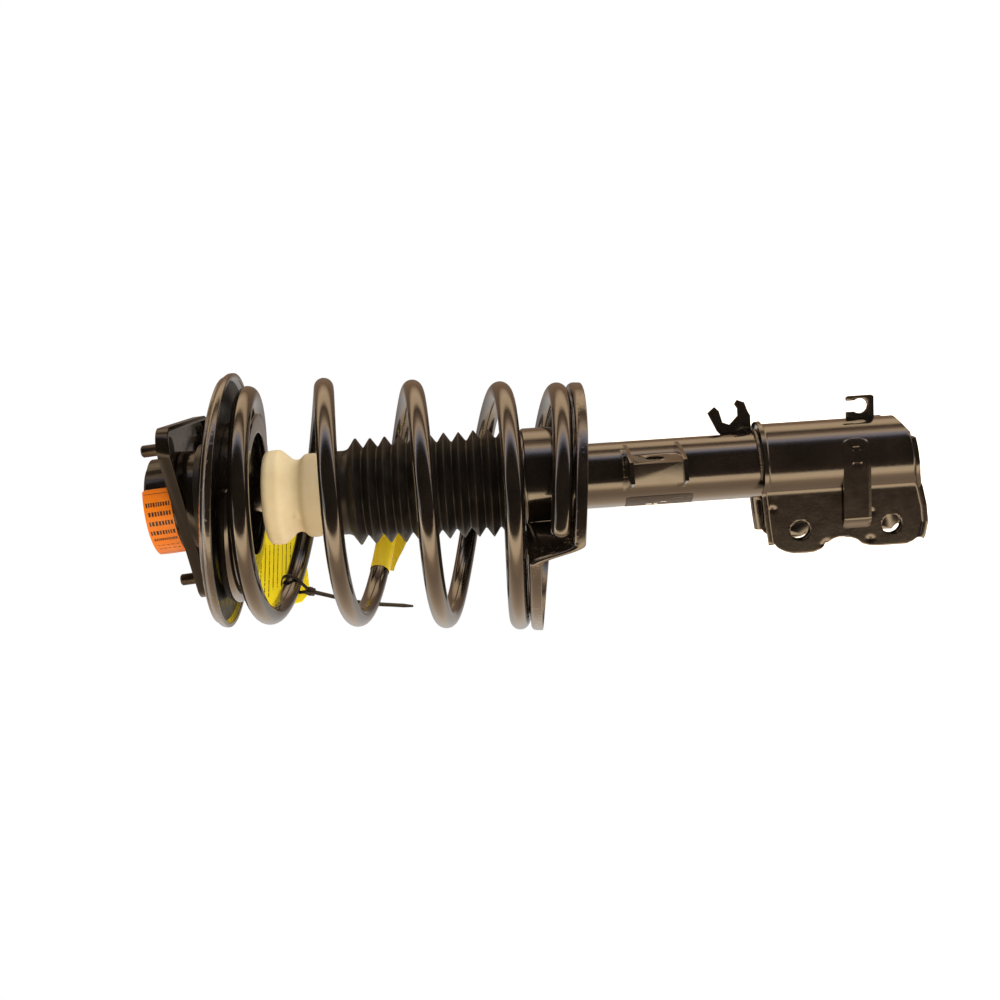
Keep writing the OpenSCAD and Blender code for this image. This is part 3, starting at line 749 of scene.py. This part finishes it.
def tie_loop():
    """The band's path: from the head, over the wire, through the eyelet and back behind."""
    centre = (spring_place @ (coil_point(TIE_TURN) * MM)) / MM
    along = wire_direction(TIE_TURN)
    head, eyelet = Vector(TIE_ROUTE[0]), Vector(tag_point(*TAG_EYELET))
    across = (eyelet - head).normalized()
    across = (across - along * across.dot(along)).normalized()
    front = along.cross(across)
    if front.y < 0:
        front = -front
    reach = WIRE_R + 1.1
    spots = [head]
    for side, near in ((1, -0.55), (1, 0.55), (0, 0), (-1, 0.55), (-1, -0.55)):
        spots.append(centre + front * reach * side + across * reach * near if side else eyelet)
    return curve_through([*spots, head], 14), along


def make_tie():
    """A nylon tie: the band, the head that locks it, and the tapering tail."""
    share = follow_share(TIE_TURN)
    loop, along = tie_loop()
    band = closed_tube("tie_band", strip_rings(loop, along, lambda t: 2.8, lambda t: 1.1), nylon)
    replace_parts(hang(band, share), "cable_tie")
    route = curve_through(TIE_ROUTE, 14)
    across = Vector((0.3, 0.9, 0.35)).normalized()
    tail = closed_tube(
        "tie_tail",
        strip_rings(
            route, across, lambda t: TIE_W * (1 - 0.55 * max(0, t - 0.9) / 0.1),
            lambda t: TIE_T * (1 + 0.10 * math.cos(t * 420)) * (1 - 0.3 * t),
        ),
        nylon,
    )
    tip = follow_share(1.62) - share
    count = len(tail.data.vertices) // len(route)
    spread = [share + tip * i / (len(route) - 1) for i in range(len(route)) for _ in range(count)]
    bend_with_spring(tail, spread)
    start, toward = Vector(TIE_ROUTE[0]), (Vector(TIE_ROUTE[1]) - Vector(TIE_ROUTE[0])).normalized()
    head_path = [start + toward * d for d in (-3.6, -3.3, -1.4, -1.2, 1.2, 1.4, 3.3, 3.6)]
    sizes = [4.6, 5.4, 5.6, 6.2, 6.2, 5.6, 5.4, 4.6]
    head = closed_tube(
        "tie_head",
        strip_rings(
            head_path, across, lambda t: sizes[round(t * 7)], lambda t: sizes[round(t * 7)] * 0.78
        ),
        nylon,
    )
    hang(head, share)


# ---------------------------------------------------------------- labels


def round_point(radius):
    """A function that lays (height, angle) on a cylinder, a little above its skin."""
    return lambda z, angle, lift=0.22: (
        (radius + lift) * math.cos(math.radians(angle)),
        (radius + lift) * math.sin(math.radians(angle)),
        z,
    )


dome_point = round_point(DOME_R)
tube_point = round_point(TUBE_R)


def label_sheet(name, to_point, low, high, first, last, material, place=None):
    """A film laid round a cylinder, its corners cut round."""
    rows = []
    steps_z, steps_a = 20, 60
    for i in range(steps_z + 1):
        z = low + (high - low) * i / steps_z
        inset = 2.2 * max(0.0, 1 - min(i, steps_z - i) / 3) ** 2
        row = []
        for j in range(steps_a + 1):
            t = j / steps_a
            angle = first + inset + (last - first - 2 * inset) * t
            row.append(to_point(z, angle, 0.10))
        rows.append(row)
    made = pressed_sheet(name, rows, material, -0.08, 0.02)
    if place is not None:
        made.data.transform(place)
    return made


def make_labels():
    film = label_sheet("dome_label", dome_point, 1.6, 20.4, 20, 122, orange, mount_place)
    settle(film, "mount", "orange_label_stock", "warning_label")
    dice = random.Random("dome")
    boxes = [(2.2, 19.6, 28, 28.6), (2.2, 19.6, 116, 116.6)]
    for middle, thick in [(45, 8.5), (59, 3.6), (69, 5.4), (81, 5.4), (92.5, 5.2), (103.5, 5.0)]:
        z = 2.4 + dice.uniform(0, 0.8)
        while z < 18.4:
            length = dice.uniform(0.16, 0.30) * thick
            boxes.append((z, min(19.4, z + length), middle - thick / 2, middle + thick / 2))
            z += length + 0.13 * thick
    print_lines = wrapped_boxes("dome_print", boxes, dome_point, ink, mount_place)
    settle(print_lines, "mount", "orange_label_stock")
    film = label_sheet("tube_sticker", tube_point, -349, -303, 5, 55, tube_film)
    settle(film, "strut", "black_label_stock", "tube_label")
    boxes = [(-348, -335.5, 8, 46), (-325, -322.5, 24, 30), (-321, -317, 24, 30), (-331, -327, 34, 36)]
    settle(
        wrapped_boxes("tube_print", boxes, tube_point, white_film), "strut", "black_label_stock"
    )


# ---------------------------------------------------------------- boot and bump stop


def make_boot():
    """Bellows with soft crests, thin walls and the slight unevenness of a moulded part."""
    pitch, crest, valley, wall = 10.2, 37.4, 30.0, 1.4
    fold_top = BOOT_TOP - 11
    folds = int((fold_top - BOOT_BOTTOM) / pitch)
    outside = [(26.5, BOOT_TOP, 1.0), (29, BOOT_TOP - 1.2, 0.8), (29, BOOT_TOP - 8, 1.0)]
    inside = []
    for i in range(folds):
        z = fold_top - i * pitch
        outside += [(valley, z, 1.6), (crest, z - pitch * 0.5, 1.1)]
        inside += [(valley - wall, z, 1.2), (crest - wall * 1.3, z - pitch * 0.5, 0.8)]
    outside += [(valley, BOOT_BOTTOM, 0.5)]
    inside += [(valley - wall, BOOT_BOTTOM, 0.5)]
    collar = [(25, BOOT_TOP - 9, 1.0), (22.5, BOOT_TOP - 6, 1.0), (22.5, BOOT_TOP, 0.8)]

    def uneven(a, r, z):
        """Waves in the folds; the collar stays round, as it turns on the bump stop."""
        if z > fold_top:
            return 0.0
        return 0.35 * math.sin(2 * a + z * 0.11) + 0.15 * math.sin(5 * a - z * 0.3)

    outline = rounded(outside + inside[::-1] + collar, 4)
    boot = lathe("boot_bellows", outline, rubber, steps=144, wander=uneven)
    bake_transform(boot, "swivel", "strut", start=(0, 0, BOOT_TOP * MM), end=(0, 0, BOOT_BOTTOM * MM))
    shares = [min(1.0, max(0.0, (v.co.z / MM - BOOT_TOP) / (BOOT_BOTTOM - BOOT_TOP)))
              for v in boot.data.vertices]
    set_shares(boot, shares)
    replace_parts(boot, "dust_boot")


def make_bump_stop():
    outline = rounded(
        [
            (ROD_R, BUMP_TOP, 0.4), (30.6, BUMP_TOP, 1.6), (32.6, -60.4, 2.4), (32.6, -68.4, 2.2),
            (25.0, -76.6, 3.2), (25.0, -81.4, 3.4), (29.0, -85.0, 3.6), (29.0, -93.0, 4.5),
            (24.8, -99.2, 3), (22, -101, 1), (22, -108, 1.5),
            (20.5, BUMP_BOTTOM, 1.2), (ROD_R, BUMP_BOTTOM, 0.4),
        ],
        8,
    )

    def uneven(a, r, z):
        """Slight waves, fine scuffs on the big lobe and a small moulding nub in the groove."""
        if r < ROD_R + 1 or z < -99:
            return 0.0
        wave = 0.2 * math.sin(3 * a + z * 0.2) + 0.1 * math.sin(7 * a)
        scuff = 0.10 * math.sin(61 * a) * math.sin(23 * a + 1) if -68 < z < -59 else 0.0
        nub = 1.8 * math.exp(-(((a - 1.22) * 25) ** 2 + (z + 79) ** 2) / 5)
        return wave + scuff + nub

    stop = lathe("bump_stop_moulding", outline, urethane, steps=160, wander=uneven)
    settle(stop, "mount", "ivory_urethane", "bump_stop")


# ---------------------------------------------------------------- upper seat


def make_upper_seat():
    rim = UPPER_SEAT_R - 0.3
    plate = rounded(
        [
            (30, 1.5, 0.6), (56, 1.5, 1.5), (58, 0.9, 1.5), (72, 0.9, 2), (74, 1.5, 1.5),
            (82, 1.5, 2.5), (84.8, -1.2, 1.5), (84.8, -2.6, 0.5), (rim, -2.6, 1.0),
            (rim, 1.0, 2.5), (85, 4.0, 2.5), (30, 4.0, 0.6),
        ],
        6,
    )
    seat = lathe("upper_seat_pressing", plate, seat_paint, spring_place, 192)
    settle(seat, "swivel", BLACK, "upper_spring_seat")
    hub = rounded([(27, -24, 0.5), (41, -24, 1.0), (41, -33.5, 2.0), (27, -33.5, 1.0)], 4)
    settle(lathe("upper_seat_hub", hub, paint), "swivel", BLACK)
    collar_place = spring_place @ Matrix.Translation((COLLAR_OFFSET * MM, 0, 0))
    collar = rounded(
        [
            (46, 2.0, 0.5), (46, -15.6, 2), (42.3, -17.4, 1.5), (42.0, -18.6, 0.5), (43.6, -18.9, 0.5),
            (53.5, -18.6, 2), (55.6, -17.6, 0.6), (55.2, -16.4, 0.6), (50, -16.6, 1.5),
            (48.5, -15.0, 1.5), (48.5, 2.0, 0.5),
        ],
        5,
    )
    settle(
        lathe("upper_seat_collar", collar, seat_paint, collar_place, 160), "swivel", BLACK
    )
    dish = rounded(
        [
            (43, 5.4, 0.8), (76, 5.4, 4), (81.8, 3.6, 1.5), (82.4, 3.3, 0.4), (85, 3.5, 0.7),
            (84.8, 5.0, 1.2), (78, 7.4, 4), (43, 7.4, 0.8),
        ],
        6,
    )
    shield = lathe("shield_pressing", dish, seat_paint, spring_place, 192)
    settle(shield, "swivel", BLACK, "bearing_shield")


# ---------------------------------------------------------------- lower seat, hub and tube

LOWER_SEAT_R = 86.0
LOWER_SEAT_T = 2.6
LOWER_RIM_H = 8.5
SEAT_STEP_FROM = 4.262
SEAT_STEP_TO = 4.29


def seat_drop(turn):
    """Drop of the seat's face: it follows the wire and then steps back up."""
    if turn <= SEAT_STEP_FROM:
        return coil_drop(turn) + WIRE_R + 0.6
    share = (turn - SEAT_STEP_FROM) / (SEAT_STEP_TO - SEAT_STEP_FROM)
    share = share * share * (3 - 2 * share)
    return seat_drop(SEAT_STEP_FROM) * (1 - share) + seat_drop(SEAT_STEP_TO - 1) * share


def seat_slice(turn):
    drop = seat_drop(turn)
    a = math.radians(180 - 360 * turn)
    out = Vector((math.cos(a), math.sin(a)))
    off = Vector((-drop * math.tan(math.radians(SPRING_LEAN)), 0))
    inner = off.dot(out) + math.sqrt((HUB_R + 0.3) ** 2 - off.length_squared + off.dot(out) ** 2)
    rim, t, low = LOWER_SEAT_R, LOWER_SEAT_T, LOWER_RIM_H
    section = rounded(
        [
            (inner, 0, 0.3), (rim - 15.5, 0, 2), (rim - 14, 0.5, 2), (rim, 0.5, 4.5),
            (rim, low, 0.9), (rim - t, low, 0.9), (rim - t, t + 0.5, 3), (rim - 14, t + 0.5, 2),
            (rim - 15.5, t, 2), (inner, t, 0.3),
        ],
        4,
    )
    return [coil_place(r, turn, drop + down) for r, down in section]


def make_lower_seat():
    coarse = np.linspace(SEAT_STEP_TO - 1, SEAT_STEP_FROM, 220)
    fine = np.linspace(SEAT_STEP_FROM, SEAT_STEP_TO, 14)[1:-1]
    rings = [seat_slice(turn) for turn in [*coarse, *fine]]
    points = [p for ring in rings for p in ring]
    faces = grid_faces(len(rings), len(rings[0]), True)
    seat = mesh_object("lower_seat_pressing", points, faces, seat_paint, spring_place)
    settle(seat, "strut", BLACK, "lower_spring_seat")


def make_hub():
    outline = rounded(
        [
            (TUBE_R, HUB_TOP, 0.3), (HUB_R - 2, HUB_TOP, 3), (HUB_R, HUB_TOP - 2, 2.5),
            (HUB_R, HUB_BOTTOM + 1, 3.5), (HUB_R - 2, HUB_BOTTOM, 2), (TUBE_R, HUB_BOTTOM, 0.3),
        ],
        6,
    )
    settle(lathe("seat_hub_pressing", outline, paint), "strut", BLACK, "lower_seat_hub")
    ring = [
        ((TUBE_R + 1.1) * math.cos(a), (TUBE_R + 1.1) * math.sin(a), HUB_BOTTOM - 1.3)
        for a in np.linspace(0, 2 * math.pi, 90)
    ]
    settle(weld_bead("seat_weld_bead", ring, 2.0), "strut", BLACK, "seat_weld")


def make_tube():
    top, bottom, wall, slack = -226.0, -486.0, 2.2, 0.05
    outline = rounded(
        [
            (TUBE_R - wall, top, 0.3), (TUBE_R - slack, top, 0.8),
            (TUBE_R - slack, bottom, 1.2), (TUBE_R - wall, bottom, 0.3),
        ],
        4,
    )
    settle(lathe("damper_tube", outline, paint), "strut", BLACK, "strut_tube")


# ---------------------------------------------------------------- brackets

BRACKET_T = 2.8
BRACKET_START = -400.0
BRACKET_END = -505.0
BOLT_HOLE_R = 7.05
CREASE_START = 60.0
LIP = 4.5
DIMPLE_REACH = 4.0
DIMPLE_DEPTH = 1.3
BRACKET_TOP = [(-26, -396), (8, -396), (13, -394), (40, -396.5), (54, -398.3), (60, -402)]
BRACKET_BOTTOM = [
    (-26, -490.5), (-24.5, -491.2), (-15.8, -498), (-14, -499), (6.8, -500.8), (18, -503.5),
    (30, -506), (42, -507), (52, -505), (57, -501.5),
]
EAR_EDGE = [
    (-507, 51), (-504, 55), (-500, 57), (-478, 57), (-471, 56.4), (-465, 54.8), (-460, 51.5),
    (-454, 49.4), (-447, 49.0), (-442, 50.4), (-438, 53.5), (-434, 56.6), (-428, 58.4), (-422, 58.8),
    (-411, 58.6), (-406, 57.2), (-402, 54.5), (-399, 50),
]
DIMPLES = [(27, -401.5), (53, -437), (33, -468), (52, -468)]
BOLTS = [(42.7, 0, -420.3), (42.7, 0, -482.8)]


def between(table, value):
    spots, values = zip(*table)
    return float(np.interp(value, spots, values))


def section_half(edge_x, wrap_steps=34, ear_steps=38):
    """Half of the bracket's section: round the tube, over the crease and along the ear.
    Each entry is a point and the direction out of the sheet."""
    line = []
    for k in range(wrap_steps + 1):
        a = math.radians(180 - (180 - CREASE_START) * k / wrap_steps)
        out = Vector((math.cos(a), math.sin(a)))
        line.append((out * WRAP_R, out))
    start, turn, end = line[-1][0], Vector((14.2, EAR_Y)), Vector((18.0, EAR_Y))
    for k in range(1, 8):
        t = k / 7
        spot = start * (1 - t) ** 2 + turn * 2 * t * (1 - t) + end * t * t
        ahead = (turn - start) * (1 - t) + (end - turn) * t
        line.append((spot, Vector((-ahead.y, ahead.x)).normalized()))
    for k in range(1, ear_steps + 1):
        x = end.x + (edge_x - end.x) * k / ear_steps
        line.append((Vector((x, EAR_Y)), Vector((0, 1))))
    return line


def end_offsets():
    """Distances from the sheet's end and how far the lip flares out there."""
    steps = 7
    return [
        (LIP * (1 - math.cos(a)), LIP * (1 - math.sin(a)))
        for a in (math.pi / 2 * k / steps for k in range(steps + 1))
    ]


def bracket_rows():
    flare = end_offsets()
    middle_rows = 74
    rows = []
    kinds = [("top", d, f) for d, f in flare]
    kinds += [("middle", k / middle_rows, 0) for k in range(1, middle_rows)]
    kinds += [("bottom", d, f) for d, f in flare[::-1]]
    for kind, amount, lip in kinds:
        if kind == "middle":
            level = BRACKET_START + (BRACKET_END - BRACKET_START) * amount
        else:
            level = BRACKET_START if kind == "top" else BRACKET_END
        half = section_half(between(EAR_EDGE, level))
        row = []
        for side in (1, -1):
            part = []
            for spot, out in half:
                top, bottom = between(BRACKET_TOP, spot.x), between(BRACKET_BOTTOM, spot.x)
                if kind == "middle":
                    z = (top - LIP) * (1 - amount) + (bottom + LIP) * amount
                elif kind == "top":
                    z = top - amount
                else:
                    z = bottom + amount
                taper = 1 - smooth_step(spot.x, 50, 58) if kind == "top" else 1.0
                if kind == "bottom":
                    taper = smooth_step(spot.x, -16.2, -14.6)
                push = lip * taper
                for x, dimple_z in DIMPLES:
                    away = (spot.x - x) ** 2 + (z - dimple_z) ** 2
                    if spot.x > 18 and away < DIMPLE_REACH**2:
                        push -= DIMPLE_DEPTH * math.exp(-away / 2.2)
                at = spot + out * push
                part.append((at.x, side * at.y, z))
            row = part[::-1] + row if side == 1 else row + part[1:]
        rows.append(row)
    return rows


def make_knuckle_bracket():
    cutter = add_cutter("cutter", BOLTS, BOLT_HOLE_R, 40)
    # This sheet thickens outward from its rows, so it stands BRACKET_T outside the CAD's sheet.
    made = pressed_sheet("knuckle_pressing", bracket_rows(), paint, BRACKET_T, 0.5, [cutter])
    settle(made, "strut", BLACK, "knuckle_bracket", "bracket_ears")
    liners = softened_copy("bracket_liners", "liner_plates", paint, 0.5)
    settle(liners, "strut", BLACK, "bracket_liners")


STRAP_T = 2.4
STRAP_MID = -458.5
STRAP_HALF = 9.2


def strap_line(share):
    """Point and outward direction along a strap, from its top end to its foot. They are on the
    front strap's outer face, and on the back strap's inner one."""
    outer = WRAP_R + STRAP_T + 1.0
    arc_end, flat_end, bend_end = 0.36, 0.80, 0.93
    if share < arc_end:
        a = math.radians(130 - 40 * share / arc_end)
        out = Vector((math.cos(a), math.sin(a)))
        return out * outer, out
    if share < flat_end:
        t = (share - arc_end) / (flat_end - arc_end)
        return Vector((36 * t, outer)), Vector((0, 1))
    if share < bend_end:
        t = (share - flat_end) / (bend_end - flat_end)
        fall = smooth_step(t, 0, 1)
        spot = Vector((36 + 9 * t, outer - (outer - EAR_Y - STRAP_T) * fall))
        return spot, Vector((0.4, 0.9)).normalized()
    t = (share - bend_end) / (1 - bend_end)
    return Vector((45 + 5 * t, EAR_Y + STRAP_T)), Vector((0, 1))


def make_straps():
    steps, across = 90, 22
    for side, name in ((1, "strap_front"), (-1, "strap_back")):
        rows = []
        for i in range(steps + 1):
            share = i / steps
            spot, out = strap_line(share)
            near_top = min(1.0, share / 0.10)
            half = STRAP_HALF - 5.5 * (1 - math.sqrt(1 - (1 - near_top) ** 2))
            half -= 2.0 * smooth_step(share, 0.90, 1.0)
            row = []
            for j in range(across + 1):
                b = half * (2 * j / across - 1)
                push = 0.0
                for mark in (0.14, 0.34):
                    if abs(share - mark) < 0.022 and abs(b) < 3.2:
                        push = -0.55
                if abs(abs(b) - half) < 1.2:
                    push -= 0.35
                at = spot + out * push
                row.append((at.x, side * at.y, STRAP_MID + b))
            rows.append(row)
        made = pressed_sheet(name, rows, paint, STRAP_T * side, 0.45)
        nodes = ["bracket_straps"] if side == 1 else []
        settle(made, "strut", BLACK, *nodes)


def make_brackets():
    make_knuckle_bracket()
    make_straps()
    for node, name, bevel in [
        ("link_bracket", "link_pressing", 0.9), ("hose_clip", "hose_clip_pressing", 0.6),
        ("sensor_bracket", "sensor_pressing", 0.6),
    ]:
        settle(softened_copy(node, name, paint, bevel), "strut", BLACK, node)
    beads = {
        "link_bead_top": [(-17.5, 15, -302.2), (-14, 19, -302.2), (-8, 22, -302.2), (0, 23.2, -302.2)],
        "link_bead_low": [(-17.5, 15, -341.8), (-14, 19, -341.8), (-8, 22, -341.8), (5, 22.8, -341.8)],
        "wrap_bead": [
            (WRAP_R * 0.93 * math.cos(a), WRAP_R * 0.93 * math.sin(a), -395.2)
            for a in (math.radians(d) for d in range(75, 286, 6))
        ],
    }
    for name, path in beads.items():
        settle(weld_bead(name, path, 1.5), "strut", BLACK)


def make_mount():
    for node, name, bevel in [("mount_plate", "mount_pressing", 1.2), ("mount_cup", "cup_pressing", 0.8)]:
        settle(softened_copy(node, name, mount_paint, bevel), "mount", BLACK, node)
    cap = softened_copy("dust_cap", "cap_moulding", cap_rubber, 0.5)
    settle(cap, "mount", "black_rubber", "dust_cap")


# ---------------------------------------------------------------- CAD nodes that stay

kept_looks = {
    dark_stud: ["mount_studs"],
    rubber: ["mount_bushing", "upper_insulator", "rod_seal"],
    zinc: ["inner_sleeve", "rod_nut", "rod_washer", "sleeve_washer", "striker_cap", "piston_nut"],
    nylon: ["bearing_upper_race", "bearing_lower_race"],
    turned: [
        "bearing_balls", "inner_cylinder", "base_valve", "rod_guide", "piston", "piston_valve_discs",
    ],
    chrome: ["piston_rod"],
    urethane: ["rebound_stop"],
    seal_plastic: ["piston_seal"],
    paint: ["tube_bottom_cap"],
    weld_paint: ["link_bracket_weld"],
}


def dress_kept_nodes():
    for material, nodes in kept_looks.items():
        for node in nodes:
            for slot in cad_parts[node].material_slots:
                slot.link = "OBJECT"
                slot.material = material


# ---------------------------------------------------------------- stage


def add_softbox(name, place, aim, width, height, power, colour, mirrored=True):
    """An area light; one that isn't mirrored lights the part but makes no reflection."""
    data = bpy.data.lights.new(name, "AREA")
    data.shape = "RECTANGLE"
    data.size = width
    data.size_y = height
    data.energy = power
    data.color = colour
    light = bpy.data.objects.new(name, data)
    light.location = place
    light.visible_glossy = mirrored
    light.rotation_euler = (Vector(aim) - Vector(place)).to_track_quat("-Z", "Y").to_euler()
    bpy.context.scene.collection.objects.link(light)


def light_the_stage():
    """Soft light from the front, behind and the mount's end; only the last is mirrored in the paint."""
    middle = (0, 0, -0.24)
    add_softbox("key_box", (-0.9, 1.2, -0.10), middle, 1.2, 1.2, 7.0, (1.0, 0.88, 0.70), False)
    add_softbox("low_box", (0.9, 0.8, -0.3), middle, 1.0, 1.0, 1.5, (1.0, 0.86, 0.7), False)
    add_softbox("back_box", (-0.6, -1.1, -0.20), middle, 1.2, 0.8, 8.0, (1.0, 0.95, 0.88), False)
    add_softbox("end_box", (0.1, 0.2, 0.9), middle, 0.8, 0.8, 2.0, (1.0, 0.95, 0.9))


def make_surround():
    """What the paint mirrors: strips of glow round the part's axis. The camera itself sees white."""
    glow_strength = 3.7
    world = bpy.data.worlds.new("surround")
    bpy.context.scene.world = world
    world.use_nodes = True
    web = NodeTree(world.node_tree)
    back = web.set(web.tree.nodes["Background"], Strength=1.0)
    coords = web.add("TexCoord")
    split = web.add("SeparateXYZ")
    web.link(coords.outputs["Generated"], split.inputs["Vector"])
    swapped = web.add("CombineXYZ")
    web.link(split.outputs["Y"], swapped.inputs["X"])
    web.link(split.outputs["X"], swapped.inputs["Y"])
    around = web.add("TexGradient")
    around.gradient_type = "RADIAL"
    web.link(swapped.outputs["Vector"], around.inputs["Vector"])
    ramp = web.add("ValToRGB")
    web.link(around.outputs["Fac"], ramp.inputs["Fac"])
    stops = [
        (0.000, (0.05, 0.035, 0.025)), (0.083, (0.10, 0.06, 0.035)), (0.133, (0.45, 0.32, 0.20)),
        (0.172, (0.55, 0.39, 0.23)), (0.200, (0.06, 0.040, 0.030)), (0.228, (0.20, 0.13, 0.08)),
        (0.256, (0.70, 0.50, 0.33)), (0.283, (0.36, 0.34, 0.38)), (0.311, (0.04, 0.04, 0.05)),
        (0.333, (0.010, 0.008, 0.006)), (0.500, (0.012, 0.009, 0.007)), (0.542, (0.04, 0.026, 0.018)),
        (0.561, (1.00, 0.74, 0.46)), (0.589, (1.00, 0.71, 0.43)), (0.622, (0.36, 0.24, 0.145)),
        (0.667, (0.28, 0.19, 0.12)), (0.767, (0.38, 0.27, 0.18)), (0.833, (0.35, 0.29, 0.23)),
        (0.900, (0.18, 0.17, 0.16)), (1.000, (0.05, 0.035, 0.025)),
    ]
    elements = ramp.color_ramp.elements
    for spot, colour in stops[1:-1]:
        elements.new(spot).color = (*colour, 1.0)
    elements[0].color = (*stops[0][1], 1.0)
    elements[len(stops) - 1].color = (*stops[-1][1], 1.0)
    seen = web.add("LightPath")
    pick = web.add("Mix")
    pick.data_type = "RGBA"
    mirrored, shown = colour_sockets(pick.inputs)
    web.link(seen.outputs["Is Camera Ray"], pick.inputs[0])
    glow = web.add("VectorMath")
    glow.operation = "SCALE"
    glow.inputs["Scale"].default_value = glow_strength
    web.link(ramp.outputs["Color"], glow.inputs[0])
    web.link(glow.outputs["Vector"], mirrored)
    shown.default_value = (1.0, 1.0, 1.0, 1.0)
    web.link(colour_sockets(pick.outputs)[0], back.inputs["Color"])


def lay_floor():
    """A plain pale floor, some way below the hanging part."""
    s = Shader("pale_floor", Roughness=0.9, Emission_Strength=0.75)
    s.surface.inputs["Emission Color"].default_value = (1.0, 0.99, 0.98, 1.0)
    tone = s.mix(s.noise(3.0, 3.0), (0.93, 0.92, 0.91), (0.96, 0.955, 0.95))
    half, level = 4000.0, -640.0
    points = [(-half, -half, level), (half, -half, level), (half, half, level), (-half, half, level)]
    floor = mesh_object("floor", points, [(0, 1, 2, 3)], s.finish(tone), smooth=False)
    floor.visible_glossy = False


def place_camera():
    """The photograph's view: the part lies with its mount to the left, seen from a little above."""
    tilt, rise = math.radians(3.85), math.radians(12.0)
    up = Vector((-math.sin(tilt), math.cos(tilt), 0))
    towards = Vector((0, 0, 1))
    part_x = -math.cos(rise) * up - math.sin(rise) * towards
    part_y = math.cos(rise) * towards - math.sin(rise) * up
    part_z = -Vector((math.cos(tilt), math.sin(tilt), 0))
    turn = Matrix((part_x, part_y, part_z))
    data = bpy.data.cameras.new("camera")
    data.sensor_width = 36.0
    data.lens = 49.68
    camera = bpy.data.objects.new("camera", data)
    camera.matrix_world = Matrix.Translation(turn @ Vector((0.2176, 0.0023, 0.955))) @ turn.to_4x4()
    bpy.context.scene.collection.objects.link(camera)
    bpy.context.scene.camera = camera


# ---------------------------------------------------------------- build

place_camera()
light_the_stage()
make_surround()
lay_floor()
make_spring()
make_spring_sticker()
make_tag()
make_tie()
make_labels()
make_boot()
make_bump_stop()
make_upper_seat()
make_lower_seat()
make_hub()
make_tube()
make_brackets()
make_mount()
dress_kept_nodes()
bpy.context.scene.view_settings.view_transform = "Standard"
